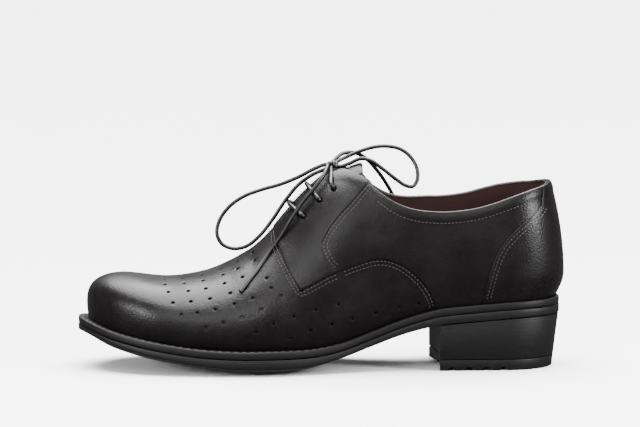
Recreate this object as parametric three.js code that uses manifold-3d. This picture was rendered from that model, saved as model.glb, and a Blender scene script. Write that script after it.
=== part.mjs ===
// A left derby shoe for a woman's foot of about 240 mm, in black leather, with a block heel and a round cord lace.
// Millimetres, +Z up. The toe points along -X, the outer (lateral) side faces -Y and the inner (medial) side +Y.
// The origin is on the floor, below the middle of the shoe without its bow.
import * as THREE from 'three';
import { mergeVertices } from 'three/addons/utils/BufferGeometryUtils.js';
import Module from 'manifold-3d';

const wasm = await Module();
wasm.setup();

// Driving dimensions of the last and the upper.
const lastLength = 251;
const ballWidth = 84;
const instepHeight = 91;
const backHeight = 62.5;
const ankleHeight = 51.4;
const ankleDrop = 4.5;
const vampWall = 1.6;
const quarterStep = 0.8;
const overlayStep = 0.6;

// Driving dimensions of the sole.
const heelRise = 29;
const toeSpring = 17.8;
const edgeLift = 4;
const weltThickness = 3.8;
const outsoleThickness = 4.4;
const weltWidth = 11;
const toeEdge = 5.4;
const waistEdge = 3.2;
const heelEdge = 3.6;
const insoleThickness = 2.6;
const topPieceThickness = 5.8;
const heelBreast = 64;
const breastHollow = 2.4;
const heelTaperBack = 3.6;
const heelTaperSide = 1.6;
const gap = 0.3;

// Grooves of the top piece.
const grooveDepth = 2;
const grooveWidth = 3.4;
const groovePitch = 9.2;
const grooveReach = 9;
const grooveCount = 4;

// Lacing.
const laceDiameter = 2.2;
const eyeletRadius = 1.5;
const eyeletInset = 8.5;
const knotStation = 0.473;
const throatStation = 0.578;
const collarStation = 0.4;
const throatHalfGap = 10.5;
const topHalfGap = 8;
const tongueThickness = 1.5;
const tongueHalfWidth = 21;
const tongueRise = 9;
const tongueClearance = 0.6;
const knotRadius = 2.5;

const LATERAL = -1;
const MEDIAL = 1;

// Where the lace crosses the ridge, from the lowest pair of eyelets to the top pair, as shares of lastLength.
const crossings = [0.567, 0.53, 0.494];

// Plan of the feather edge, where the upper meets the welt: its middle and half width, as shares of ballWidth.
const plan = [
  { s: -0.05, middle: 0, half: 0.325 },
  { s: 0.0, middle: 0, half: 0.33 },
  { s: 0.12, middle: 0, half: 0.335 },
  { s: 0.25, middle: -0.012, half: 0.325 },
  { s: 0.4, middle: -0.042, half: 0.33 },
  { s: 0.5, middle: -0.056, half: 0.385 },
  { s: 0.62, middle: -0.042, half: 0.47 },
  { s: 0.7, middle: -0.006, half: 0.5 },
  { s: 0.8, middle: 0.024, half: 0.482 },
  { s: 0.9, middle: 0.05, half: 0.43 },
  { s: 1.0, middle: 0.068, half: 0.375 },
  { s: 1.05, middle: 0.074, half: 0.35 },
];

// Underside of the outsole along its edge, as shares of heelRise, toeSpring and edgeLift, and the outsole's own
// thickness as a share of outsoleThickness.
const soleLine = [
  { s: -0.05, heel: 1.01, spring: 0, lift: 0, outsole: 1 },
  { s: 0.0, heel: 1.0, spring: 0, lift: 0, outsole: 1 },
  { s: 0.1, heel: 0.97, spring: 0, lift: 0, outsole: 1 },
  { s: 0.2, heel: 0.9, spring: 0, lift: 0, outsole: 1 },
  { s: 0.26, heel: 0.845, spring: 0, lift: 0, outsole: 0.98 },
  { s: 0.33, heel: 0.7, spring: 0, lift: 0, outsole: 0.86 },
  { s: 0.4, heel: 0.48, spring: 0, lift: 0.05, outsole: 0.8 },
  { s: 0.46, heel: 0.27, spring: 0, lift: 0.25, outsole: 0.82 },
  { s: 0.51, heel: 0.1, spring: 0, lift: 0.7, outsole: 0.95 },
  { s: 0.55, heel: 0.02, spring: 0, lift: 0.95, outsole: 1.07 },
  { s: 0.62, heel: 0, spring: 0, lift: 1, outsole: 1.14 },
  { s: 0.69, heel: 0, spring: 0.01, lift: 1, outsole: 1.1 },
  { s: 0.76, heel: 0, spring: 0.1, lift: 1, outsole: 0.95 },
  { s: 0.82, heel: 0, spring: 0.23, lift: 1, outsole: 0.82 },
  { s: 0.89, heel: 0, spring: 0.43, lift: 0.95, outsole: 0.72 },
  { s: 0.95, heel: 0, spring: 0.68, lift: 0.75, outsole: 0.64 },
  { s: 1.0, heel: 0, spring: 1.02, lift: 0.3, outsole: 0.56 },
  { s: 1.04, heel: 0, spring: 1.2, lift: 0.2, outsole: 0.54 },
];

// Sections of the last: height of the ridge above the welt as a share of instepHeight, and roundness, the exponent of
// the superellipse from the widest level to the ridge. Behind the tongue the ridge is the unseen top of the last.
const sections = [
  { s: 0.0, ridge: 1.15, round: 1.72 },
  { s: 0.12, ridge: 1.14, round: 1.75 },
  { s: 0.2, ridge: 1.03, round: 2 },
  { s: 0.33, ridge: 0.965, round: 2.25 },
  { s: 0.42, ridge: 1.01, round: 2.2 },
  { s: 0.47, ridge: 1.0, round: 2.08 },
  { s: 0.505, ridge: 0.972, round: 1.85 },
  { s: 0.545, ridge: 0.89, round: 1.66 },
  { s: 0.583, ridge: 0.762, round: 1.66 },
  { s: 0.61, ridge: 0.662, round: 1.74 },
  { s: 0.652, ridge: 0.556, round: 1.86 },
  { s: 0.716, ridge: 0.453, round: 2.02 },
  { s: 0.76, ridge: 0.403, round: 2.1 },
  { s: 0.834, ridge: 0.35, round: 2.35 },
  { s: 0.91, ridge: 0.34, round: 2.7 },
  { s: 1.0, ridge: 0.33, round: 2.9 },
];

// How far the wall swells out past the feather edge, as a share of ballWidth, and how high above it is widest, as a
// share of instepHeight.
const swell = [
  { s: 0.0, out: 0.056, rise: 0.145 },
  { s: 0.12, out: 0.036, rise: 0.16 },
  { s: 0.25, out: 0.03, rise: 0.18 },
  { s: 0.4, out: 0.042, rise: 0.19 },
  { s: 0.5, out: 0.036, rise: 0.16 },
  { s: 0.62, out: 0.026, rise: 0.12 },
  { s: 0.75, out: 0.021, rise: 0.095 },
  { s: 0.9, out: 0.014, rise: 0.09 },
  { s: 1.0, out: 0.01, rise: 0.09 },
];

// Topline and top edge of the facings on the lateral side: height above the floor between the ankle's lowest point and
// the back, or between it and the facing's top corner, as a share of the two.
const topline = [
  { s: -0.02, height: 1.02 },
  { s: 0.0, height: 1.0 },
  { s: 0.03, height: 0.83 },
  { s: 0.06, height: 0.7 },
  { s: 0.1, height: 0.49 },
  { s: 0.14, height: 0.27 },
  { s: 0.18, height: 0.1 },
  { s: 0.225, height: 0.01 },
  { s: 0.255, height: 0.0 },
  { s: 0.305, height: 0.08 },
  { s: 0.346, height: 0.3 },
  { s: 0.379, height: 0.64 },
  { s: 0.398, height: 0.9 },
  { s: 0.405, height: 1.08 },
  { s: 0.43, height: 1.27 },
  { s: 0.4516, height: 1.4 },
];

// Front and lower edge of the quarter where it lies on the vamp, seen from the side: station and height above the
// floor as a share of instepHeight.
const quarterEdge = [
  { s: 0.597, z: 0.83 },
  { s: 0.594, z: 0.74 },
  { s: 0.585, z: 0.655 },
  { s: 0.5686, z: 0.575 },
  { s: 0.542, z: 0.5 },
  { s: 0.5226, z: 0.535 },
  { s: 0.497, z: 0.574 },
  { s: 0.434, z: 0.64 },
  { s: 0.385, z: 0.67 },
  { s: 0.344, z: 0.643 },
  { s: 0.303, z: 0.563 },
  { s: 0.275, z: 0.466 },
  { s: 0.256, z: 0.33 },
];

// Rear edge of the facing, from the topline down to the quarter's lower edge.
const facingEdge = [
  { s: 0.385, z: 1.3 },
  { s: 0.4034, z: 1.11 },
  { s: 0.4387, z: 1.005 },
  { s: 0.4774, z: 0.89 },
  { s: 0.4996, z: 0.8 },
  { s: 0.507, z: 0.75 },
  { s: 0.504, z: 0.7 },
  { s: 0.4925, z: 0.637 },
  { s: 0.474, z: 0.575 },
];

// Front edge of the counter, from the topline down to the feather edge.
const counterEdge = [
  { s: 0.034, z: 1.3 },
  { s: 0.034, z: 1.02 },
  { s: 0.037, z: 0.955 },
  { s: 0.056, z: 0.905 },
  { s: 0.093, z: 0.822 },
  { s: 0.12, z: 0.742 },
  { s: 0.134, z: 0.675 },
  { s: 0.145, z: 0.595 },
  { s: 0.156, z: 0.48 },
  { s: 0.162, z: 0.3 },
];

// Routes of the bow from the knot, in millimetres: forward is towards the toe, medial is away from the outer side.
const frontLoop = [
  { forward: 3.9, medial: 2.2, up: 0 },
  { forward: 10, medial: 4.5, up: -2.6 },
  { forward: 18, medial: 7, up: -7 },
  { forward: 28, medial: 9, up: -11.2 },
  { forward: 37, medial: 10.5, up: -13.8 },
  { forward: 47, medial: 11, up: -17.5 },
  { forward: 55, medial: 11, up: -23 },
  { forward: 60.5, medial: 10.5, up: -30.5 },
  { forward: 62, medial: 9.5, up: -37.5 },
  { forward: 59.5, medial: 8.5, up: -43 },
  { forward: 53.5, medial: 7.5, up: -45.6 },
  { forward: 46, medial: 6.5, up: -44.2 },
  { forward: 39, medial: 5.5, up: -38.5 },
  { forward: 32, medial: 4.5, up: -29.5 },
  { forward: 25, medial: 3.5, up: -19 },
  { forward: 18, medial: 2.5, up: -10.6 },
  { forward: 10.5, medial: 1, up: -5.2 },
  { forward: 4, medial: -0.9, up: -2.2 },
];
const backLoop = [
  { forward: -4.1, medial: -0.6, up: -0.8 },
  { forward: -9, medial: -1.2, up: 0.8 },
  { forward: -15, medial: -2, up: 3.4 },
  { forward: -20, medial: -3.5, up: 2.6 },
  { forward: -26, medial: -4.5, up: -1.5 },
  { forward: -33, medial: -5, up: -7 },
  { forward: -39, medial: -4.5, up: -11 },
  { forward: -43, medial: -3.5, up: -11.5 },
  { forward: -45.5, medial: -2, up: -8 },
  { forward: -45.5, medial: 0, up: -2.5 },
  { forward: -42.5, medial: 2, up: 3.5 },
  { forward: -37, medial: 3.5, up: 8 },
  { forward: -30, medial: 4.5, up: 9.6 },
  { forward: -23, medial: 5, up: 9.2 },
  { forward: -15, medial: 4.5, up: 7 },
  { forward: -8, medial: 3.5, up: 4.2 },
  { forward: -3.6, medial: 1.6, up: 2.2 },
];
const backEnd = [
  { forward: -0.6, medial: 3, up: 1.7 },
  { forward: -5.5, medial: 7.5, up: 5.4 },
  { forward: -10.5, medial: 10.5, up: 6 },
  { forward: -15.5, medial: 15, up: 4.5 },
  { forward: -20.5, medial: 20, up: 1 },
  { forward: -25.5, medial: 25, up: -4.5 },
  { forward: -30, medial: 29, up: -10.5 },
  { forward: -34, medial: 32.5, up: -17 },
  { forward: -37.5, medial: 36, up: -23.5 },
  { forward: -40.5, medial: 38.6, up: -32 },
  { forward: -42, medial: 39.8, up: -41 },
];
const frontEnd = [
  { forward: 2.6, medial: -3.5, up: 0.8 },
  { forward: 5, medial: -8.5, up: -0.6 },
  { forward: 8.5, medial: -12, up: -4.4 },
  { forward: 13, medial: -12.6, up: -9 },
  { forward: 18, medial: -12.4, up: -12.4 },
  { forward: 22.5, medial: -12.4, up: -17.8 },
  { forward: 26, medial: -12.8, up: -24 },
];

// A smooth curve through one column of a table, by its s column.
function column(table, name) {
  const slopes = table.map((row, i) => {
    const before = table[Math.max(i - 1, 0)];
    const after = table[Math.min(i + 1, table.length - 1)];
    return (after[name] - before[name]) / (after.s - before.s);
  });
  return (s) => {
    let i = 0;
    while (i < table.length - 2 && s > table[i + 1].s) i++;
    const width = table[i + 1].s - table[i].s;
    const u = THREE.MathUtils.clamp((s - table[i].s) / width, 0, 1);
    const from = table[i][name];
    const to = table[i + 1][name];
    const rise = slopes[i] * width;
    const fall = slopes[i + 1] * width;
    return from + u * (rise + u * (3 * (to - from) - 2 * rise - fall + u * (rise + fall - 2 * (to - from))));
  };
}

const planMiddle = column(plan, 'middle');
const planHalf = column(plan, 'half');
const heelShare = column(soleLine, 'heel');
const springShare = column(soleLine, 'spring');
const liftShare = column(soleLine, 'lift');
const outsoleShare = column(soleLine, 'outsole');
const ridgeShare = column(sections, 'ridge');
const roundness = column(sections, 'round');
const swellOut = column(swell, 'out');
const swellRise = column(swell, 'rise');
const toplineShare = column(topline, 'height');

// Shares of the last's length over which the plan closes at the heel and at the toe, and how square the ends are.
const heelRound = 0.115;
const toeRound = 0.17;
const heelSquareness = 2.15;
const toeSquareness = 2.15;

const station = (x) => -x / lastLength;
const place = (s) => -s * lastLength;
const stationOf = (a) => (1 - Math.cos(Math.PI * a)) / 2;

function closing(s) {
  const close = (u, power) => (u >= 1 ? 1 : Math.pow(1 - Math.pow(1 - Math.max(u, 0), power), 1 / power));
  return close(s / heelRound, heelSquareness) * close((1 - s) / toeRound, toeSquareness);
}

const soleEdge = (s) => heelRise * heelShare(s) + toeSpring * springShare(s) + edgeLift * liftShare(s);
const weltLevel = (s) => soleEdge(s) + outsoleThickness * outsoleShare(s) + gap;
const bedHeight = (s) => weltLevel(s) + weltThickness;

// A point of the feather edge in plan; a runs from the back of the heel (0) to the tip of the toe (1) on one side.
function feather(side, a) {
  if (a < 0) return feather(-side, -a);
  if (a > 1) return feather(-side, 2 - a);
  const s = stationOf(a);
  return new THREE.Vector2(place(s), ballWidth * (planMiddle(s) + side * planHalf(s) * closing(s)));
}

// The feather edge moved outwards in plan by a distance, or inwards by a negative one.
function outline(side, a, out) {
  const step = 0.002;
  const along = feather(side, a + step).sub(feather(side, a - step)).normalize();
  const normal = new THREE.Vector2(along.y, -along.x).multiplyScalar(side);
  return feather(side, a).addScaledVector(normal, out);
}

// How far the sole stands out past the feather edge.
function edgeWidth(s) {
  const front = THREE.MathUtils.smoothstep(s, 0.42, 0.66);
  const rear = 1 - THREE.MathUtils.smoothstep(s, 0.2, 0.34);
  return waistEdge + (toeEdge - waistEdge) * front + (heelEdge - waistEdge) * rear;
}

// The station on the ridge that a section starts from: it stops short of the toe and of the heel, so that the sections
// fan out round both ends.
const heelFan = 0.24;
const toeFan = 0.183;
function spineStation(s) {
  if (s < heelFan) return heelFan - (heelFan / 2) * (1 - Math.pow(s / heelFan, 2));
  if (s > 1 - toeFan) return 1 - toeFan + (toeFan / 2) * (1 - Math.pow((1 - s) / toeFan, 2));
  return s;
}

// A section of the last: level 0 is the feather edge, 1 the widest level and 2 the ridge.
function section(side, a) {
  const s = stationOf(a);
  const spine = spineStation(s);
  const foot = feather(side, a);
  const centre = new THREE.Vector2(place(spine), ballWidth * planMiddle(spine));
  const reach = foot.clone().sub(centre);
  const wide = 1 + (ballWidth * swellOut(s)) / reach.length();
  const low = bedHeight(s) + gap;
  const middle = low + instepHeight * swellRise(s);
  const high = bedHeight(spine) + instepHeight * ridgeShare(spine);
  const power = 2 / roundness(spine);
  const point = (level) => {
    let share;
    let z;
    if (level < 1) {
      share = 1 + (wide - 1) * Math.sin((Math.PI / 2) * level);
      z = low + (middle - low) * level;
    } else {
      const angle = (Math.PI / 2) * (level - 1);
      share = wide * Math.pow(Math.max(Math.cos(angle), 0), power);
      z = middle + (high - middle) * Math.pow(Math.sin(angle), power);
    }
    return new THREE.Vector3(centre.x + share * reach.x, centre.y + share * reach.y, z);
  };
  return point;
}

// The ridge of the last at a station, and the way the surface faces there.
function ridge(s) {
  return new THREE.Vector3(place(s), ballWidth * planMiddle(s), bedHeight(s) + instepHeight * ridgeShare(s));
}
function ridgeNormal(s) {
  const step = 0.004;
  const along = ridge(s - step).sub(ridge(s + step));
  return new THREE.Vector3(-along.z, 0, along.x).normalize();
}

// A point of the last's surface moved out along the surface's own normal.
function surface(side, a, level, out) {
  const step = 0.004;
  const at = section(side, a)(level);
  if (out === 0) return at;
  if (level >= 2) return at.addScaledVector(ridgeNormal(spineStation(stationOf(a))), out);
  const wrap = (b) => (b < 0 ? section(-side, -b) : b > 1 ? section(-side, 2 - b) : section(side, b));
  const along = wrap(a + step)(level).sub(wrap(a - step)(level));
  const higher = section(side, a)(Math.min(level + step, 2));
  const up = higher.sub(section(side, a)(Math.max(level - step, 0)));
  return at.addScaledVector(along.cross(up).normalize(), side * out);
}

// The topline's height above the floor on one side.
const lowestTop = bedHeight(0.255) + ankleHeight;
const backTop = bedHeight(0) + backHeight;
const facingTopStation = topline[topline.length - 1].s;
function topHeight(side, s) {
  const inner = side === MEDIAL ? ankleDrop * (1 - THREE.MathUtils.smoothstep(Math.abs(s - 0.2), 0.05, 0.2)) : 0;
  return lowestTop + (backTop - lowestTop) * toplineShare(s) + inner;
}

// A closed manifold from corner points and triangles, turned so that it faces out.
function toSolid(points, triangles) {
  const geometry = new THREE.BufferGeometry().setFromPoints(points).setIndex(triangles);
  const merged = mergeVertices(geometry, 1e-4);
  const index = merged.index.array;
  const kept = [];
  for (let i = 0; i < index.length; i += 3) {
    const [a, b, c] = [index[i], index[i + 1], index[i + 2]];
    if (a !== b && b !== c && c !== a) kept.push(a, b, c);
  }
  const vertProperties = new Float32Array(merged.attributes.position.array);
  const make = (order) => new wasm.Manifold(new wasm.Mesh({ numProp: 3, vertProperties, triVerts: new Uint32Array(order) }));
  const made = make(kept);
  return made.volume() > 0 ? made : make(kept.reverse());
}

// A closed body over a lattice of rows and columns: level 0 is its underside, the last level its top, and its walls
// pass through every level.
function slab(rows, columns, levels, point) {
  const points = [];
  const triangles = [];
  const known = new Map();
  const at = (row, col, level) => {
    const key = `${row},${col},${level}`;
    if (!known.has(key)) {
      known.set(key, points.length);
      points.push(point(row, col, level));
    }
    return known.get(key);
  };
  const quad = (a, b, c, d) => triangles.push(a, b, c, a, c, d);
  const top = levels - 1;
  for (let row = 0; row < rows - 1; row++) {
    for (let col = 0; col < columns - 1; col++) {
      quad(at(row, col, 0), at(row, col + 1, 0), at(row + 1, col + 1, 0), at(row + 1, col, 0));
      quad(at(row, col, top), at(row + 1, col, top), at(row + 1, col + 1, top), at(row, col + 1, top));
    }
  }
  const rim = [];
  for (let col = 0; col < columns - 1; col++) rim.push([0, col]);
  for (let row = 0; row < rows - 1; row++) rim.push([row, columns - 1]);
  for (let col = columns - 1; col > 0; col--) rim.push([rows - 1, col]);
  for (let row = rows - 1; row > 0; row--) rim.push([row, 0]);
  rim.forEach((from, i) => {
    const to = rim[(i + 1) % rim.length];
    for (let level = 0; level < top; level++) {
      quad(at(...from, level), at(...from, level + 1), at(...to, level + 1), at(...to, level));
    }
  });
  return toSolid(points, triangles);
}

// A prism through the whole width of the shoe from its outline seen from the side.
function sidePrism(corners) {
  const shape = new THREE.Shape(corners.map((p) => new THREE.Vector2(p.x, p.z)));
  const depth = 2 * ballWidth;
  const geometry = new THREE.ExtrudeGeometry(shape, { depth, bevelEnabled: false });
  geometry.rotateX(Math.PI / 2).translate(0, depth / 2, 0);
  return fromGeometry(geometry);
}

// A prism from its outline seen from above.
function planPrism(corners, low, high) {
  const shape = new THREE.Shape(corners.map((p) => new THREE.Vector2(p.x, p.y)));
  return fromGeometry(new THREE.ExtrudeGeometry(shape, { depth: high - low, bevelEnabled: false }).translate(0, 0, low));
}

function fromGeometry(geometry) {
  geometry.deleteAttribute('normal');
  geometry.deleteAttribute('uv');
  const merged = mergeVertices(geometry, 1e-4);
  const position = merged.attributes.position;
  const points = Array.from({ length: position.count }, (_, i) => new THREE.Vector3().fromBufferAttribute(position, i));
  const order = merged.index ? Array.from(merged.index.array) : points.map((_, i) => i);
  return toSolid(points, order);
}

// A round cord along a smooth curve.
const cordSides = 8;
function cord(points, radius, steps) {
  const path = new THREE.CatmullRomCurve3(points, false, 'centripetal');
  const ring = new THREE.Shape();
  for (let i = 0; i < cordSides; i++) {
    const angle = (2 * Math.PI * i) / cordSides;
    const corner = [radius * Math.cos(angle), radius * Math.sin(angle)];
    if (i === 0) ring.moveTo(...corner);
    else ring.lineTo(...corner);
  }
  ring.closePath();
  return fromGeometry(new THREE.ExtrudeGeometry(ring, { steps, extrudePath: path, bevelEnabled: false }));
}

// Points of a table of edges seen from the side, as one smooth line.
function sideLine(table, count) {
  const points = table.map((row) => new THREE.Vector3(place(row.s), 0, row.z * instepHeight));
  return new THREE.CatmullRomCurve3(points, false, 'centripetal').getPoints(count);
}

// The shell of the upper between two distances from the last's surface, closed along the ridge. drop lowers its foot,
// for a shell that cuts another.
const upperColumns = 41;
const upperRows = 11;
const tuckRows = 3;
function shell(inner, outer, drop = 0) {
  const loop = [];
  for (let i = 0; i <= upperColumns; i++) loop.push([LATERAL, i / upperColumns]);
  for (let i = upperColumns - 1; i > 0; i--) loop.push([MEDIAL, i / upperColumns]);
  const points = [];
  const triangles = [];
  const columns = loop.map(([side, a]) =>
    Array.from({ length: upperRows + 1 }, (_, row) => {
      const level = row <= tuckRows ? row / tuckRows : 1 + (row - tuckRows) / (upperRows - tuckRows);
      return [outer, inner].map((out) => {
        const p = surface(side, a, level, out);
        if (row === 0) p.z = section(side, a)(0).z - drop;
        points.push(p);
        return points.length - 1;
      });
    }),
  );
  const quad = (a, b, c, d) => triangles.push(a, b, c, a, c, d);
  columns.forEach((from, k) => {
    const to = columns[(k + 1) % columns.length];
    for (let row = 0; row < upperRows; row++) {
      quad(from[row][0], to[row][0], to[row + 1][0], from[row + 1][0]);
      quad(from[row][1], from[row + 1][1], to[row + 1][1], to[row][1]);
    }
    quad(from[0][0], from[0][1], to[0][1], to[0][0]);
  });
  return toSolid(points, triangles);
}

const facingLevel = quarterStep + overlayStep;
const far = lastLength * 1.2;

// Half the gap between the facings at a station.
function halfGap(s) {
  const share = THREE.MathUtils.clamp((s - facingTopStation) / (quarterEdge[0].s - facingTopStation), 0, 1);
  return topHalfGap + (throatHalfGap - topHalfGap) * share;
}

// The level of a section where it lies at a distance from the shoe's middle plane.
function levelAcross(side, s, distance) {
  const a = Math.acos(1 - 2 * s) / Math.PI;
  const part = section(side, a);
  const middle = ballWidth * planMiddle(s);
  let low = 1;
  let high = 2;
  for (let i = 0; i < 40; i++) {
    const level = (low + high) / 2;
    if (Math.abs(part(level).y - middle) > distance) low = level;
    else high = level;
  }
  return { a, level: (low + high) / 2 };
}

// A point above the surface in the plane square to the ridge at station s, at a distance from the middle plane.
function crossPoint(side, s, distance, out) {
  const from = ridge(s);
  const step = 0.002;
  const along = ridge(s - step).sub(ridge(s + step));
  let low = s - 0.12;
  let high = s + 0.03;
  let best;
  for (let i = 0; i < 40; i++) {
    const at = (low + high) / 2;
    best = levelAcross(side, at, distance);
    if (surface(side, best.a, best.level, 0).sub(from).dot(along) > 0) low = at;
    else high = at;
  }
  return surface(side, best.a, distance === 0 ? 2 : best.level, out);
}

// The eyelets of one side: their places on the facing and the way the surface faces there.
function eyelets(side) {
  return crossings.map((s) => {
    const reach = halfGap(s) + eyeletInset;
    const foot = crossPoint(side, s, reach, 0);
    const normal = crossPoint(side, s, reach, 1).sub(foot);
    return { foot, normal };
  });
}

function upper() {
  const quarterLine = sideLine(quarterEdge, 40);
  const facingLine = sideLine(facingEdge, 20);
  const counterLine = sideLine(counterEdge, 20);
  const above = 2 * instepHeight;
  const below = -instepHeight;
  const vampRegion = sidePrism([
    { x: quarterLine[0].x, z: above },
    ...quarterLine,
    { x: quarterLine[quarterLine.length - 1].x, z: below },
    { x: -far, z: below },
    { x: -far, z: above },
  ]);
  const lowerCorner = facingLine[facingLine.length - 1];
  const facingRegion = sidePrism([
    { x: -far, z: above },
    ...facingLine.map((p, i) => (i === 0 ? { x: p.x, z: above } : p)),
    { x: lowerCorner.x, z: below },
    { x: -far, z: below },
  ]);
  const counterRegion = sidePrism([
    ...counterLine.map((p, i) => (i === 0 ? { x: p.x, z: above } : p)),
    { x: counterLine[counterLine.length - 1].x, z: below },
    { x: far, z: below },
    { x: far, z: above },
  ]);
  const margin = 3;
  const slot = (front, back) => {
    const count = 7;
    const row = (s, side) => ({ x: place(s), y: ballWidth * planMiddle(s) + side * halfGap(s) });
    const stations = Array.from({ length: count }, (_, i) => front + ((back - front) * i) / (count - 1));
    const edge = [...stations.map((s) => row(s, LATERAL)), ...stations.reverse().map((s) => row(s, MEDIAL))];
    return planPrism(edge, bedHeight(0.5) + instepHeight / 3, above);
  };
  const wall = shell(-vampWall, facingLevel);
  const aboveQuarter = shell(quarterStep, facingLevel + margin, margin);
  const aboveVamp = shell(0, facingLevel + margin, margin);
  const open = slot(quarterEdge[0].s + 0.03, collarStation);
  let made = wall.subtract(aboveQuarter.subtract(facingRegion).subtract(counterRegion));
  made = made.subtract(aboveVamp.intersect(vampRegion.add(open)));
  made = made.subtract(slot(throatStation, collarStation));

  const count = 40;
  [LATERAL, MEDIAL].forEach((side) => {
    const first = topline[0].s;
    const line = Array.from({ length: count + 1 }, (_, i) => {
      const s = first + ((facingTopStation - first) * i) / count;
      return { x: place(s), z: topHeight(side, s) };
    });
    const collar = sidePrism([{ x: line[0].x, z: above }, ...line, { x: line[count].x, z: above }]);
    const half = new THREE.BoxGeometry(2 * far, far, 4 * instepHeight).translate(0, (side * far) / 2, 0);
    made = made.subtract(collar.intersect(fromGeometry(half)));
  });

  [LATERAL, MEDIAL].forEach((side) =>
    eyelets(side).forEach(({ foot, normal }) => {
      const reach = 2 * facingLevel + vampWall;
      const ends = [-reach, reach].map((d) => foot.clone().addScaledVector(normal, d));
      made = made.subtract(cord(ends, eyeletRadius, 1));
    }),
  );
  return made;
}

// The tongue lies under the facings and stands out past their top.
function tongue() {
  const rows = 15;
  const columns = 9;
  const outer = -vampWall - tongueClearance;
  const front = quarterEdge[0].s + 0.035;
  const back = facingTopStation - tongueRise / lastLength;
  return slab(rows, columns, 2, (row, col, level) => {
    const s = front + ((back - front) * row) / (rows - 1);
    const across = (2 * col) / (columns - 1) - 1;
    const tip = 1 - 0.35 * THREE.MathUtils.smoothstep(row / (rows - 1), 0.8, 1);
    const side = across < 0 ? LATERAL : MEDIAL;
    const found = levelAcross(side, s, Math.abs(across) * tongueHalfWidth * tip);
    return surface(side, found.a, across === 0 ? 2 : found.level, level === 0 ? outer - tongueThickness : outer);
  });
}

// A layer of the sole: rows of points across the shoe at its own distance from the feather edge. Its heights follow
// the station and how far out a point lies as a share of the sole's half width.
const soleRows = 34;
const soleColumns = 7;
const insoleRows = 21;
const insoleColumns = 5;
function soleLayer(out, low, high, rows = soleRows, columns = soleColumns) {
  return slab(rows, columns, 2, (row, col, level) => {
    const a = row / (rows - 1);
    const edges = (extra) => [LATERAL, MEDIAL].map((side) => outline(side, a, extra));
    const [from, to] = edges(out(stationOf(a)));
    const [soleFrom, soleTo] = edges(edgeWidth(stationOf(a)));
    const narrower = from.distanceTo(to) / (soleFrom.distanceTo(soleTo) || 1);
    const share = col / (columns - 1);
    const p = from.lerp(to, share);
    const s = station(p.x);
    return new THREE.Vector3(p.x, p.y, (level === 0 ? low : high)(s, Math.abs(2 * share - 1) * narrower));
  });
}

// The sole bends down towards its middle under the ball, where it stands flat on the floor.
const middleDip = (s) => (edgeLift + 1.5) * liftShare(s);
const bent = (s, across) => middleDip(s) * (1 - Math.pow(across, 2.2));
const underside = (s, across) => Math.max(soleEdge(s) - bent(s, across), 0);
const weltFoot = (s, across) => weltLevel(s) - Math.min(bent(s, across), edgeLift);

function outsole() {
  const plate = soleLayer(edgeWidth, underside, (s, across) => weltFoot(s, across) - gap);
  const filler = soleLayer(
    (s) => edgeWidth(s) - weltWidth - gap,
    (s, across) => weltFoot(s, across) - (outsoleThickness / 2) * outsoleShare(s),
    (s, across) => weltFoot(s, across) + weltThickness - gap,
  );
  return plate.add(filler);
}

function welt() {
  const top = (s) => bedHeight(s);
  const ring = soleLayer(edgeWidth, weltLevel, top);
  const margin = 2 * weltThickness;
  const hole = soleLayer(
    (s) => edgeWidth(s) - weltWidth,
    (s) => bedHeight(s) - margin - weltThickness,
    (s) => top(s) + margin,
  );
  return ring.subtract(hole);
}

function insole() {
  return soleLayer(
    () => -vampWall - 2 * gap,
    (s) => bedHeight(s) + 1.5 * gap,
    (s) => bedHeight(s) + 1.5 * gap + insoleThickness,
    insoleRows,
    insoleColumns,
  );
}

// One layer of the heel between two heights, with its breast hollowed in towards the back.
const heelRows = 15;
const heelColumns = 9;
function heelLayer(levels, height, taper) {
  return slab(heelRows, heelColumns, levels, (row, col, level) => {
    const turn = Math.acos(1 - (2 * heelBreast) / lastLength) / Math.PI;
    const a = (turn * row) / (heelRows - 1);
    const share = col / (heelColumns - 1);
    const [from, to] = [LATERAL, MEDIAL].map((side) => outline(side, a, heelEdge - gap));
    const p = from.lerp(to, share);
    const s = station(p.x);
    const z = height(s, level);
    const down = 1 - z / heelRise;
    const back = 1 - row / (heelRows - 1);
    p.x -= heelTaperBack * down * back;
    p.y -= (2 * share - 1) * taper * down;
    p.x += breastHollow * (1 - Math.pow(2 * share - 1, 2)) * (row / (heelRows - 1));
    return new THREE.Vector3(p.x, p.y, z);
  });
}

function heel() {
  return heelLayer(2, (s, level) => (level === 0 ? topPieceThickness + gap : soleEdge(s) - 1.5 * gap), heelTaperSide);
}

function topPiece() {
  let made = heelLayer(2, (s, level) => (level === 0 ? 0 : topPieceThickness), heelTaperSide);
  const front = place(heelBreast / lastLength);
  for (let i = 0; i < grooveCount; i++) {
    [LATERAL, MEDIAL].forEach((side) => {
      const x = front + groovePitch * (i + 0.75);
      const edge = side * ballWidth * planHalf(heelRound);
      const box = new THREE.BoxGeometry(grooveWidth, 2 * grooveReach, 2 * grooveDepth);
      made = made.subtract(fromGeometry(box.translate(x, edge, 0)));
    });
  }
  const box = new THREE.BoxGeometry(2 * grooveReach, grooveWidth * 1.6, 2 * grooveDepth);
  return made.subtract(fromGeometry(box.translate(front, 0, 0)));
}

// The place of the knot, on the tongue above the top crossing.
function knotPlace() {
  return ridge(knotStation).addScaledVector(ridgeNormal(knotStation), knotRadius - gap);
}

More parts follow.
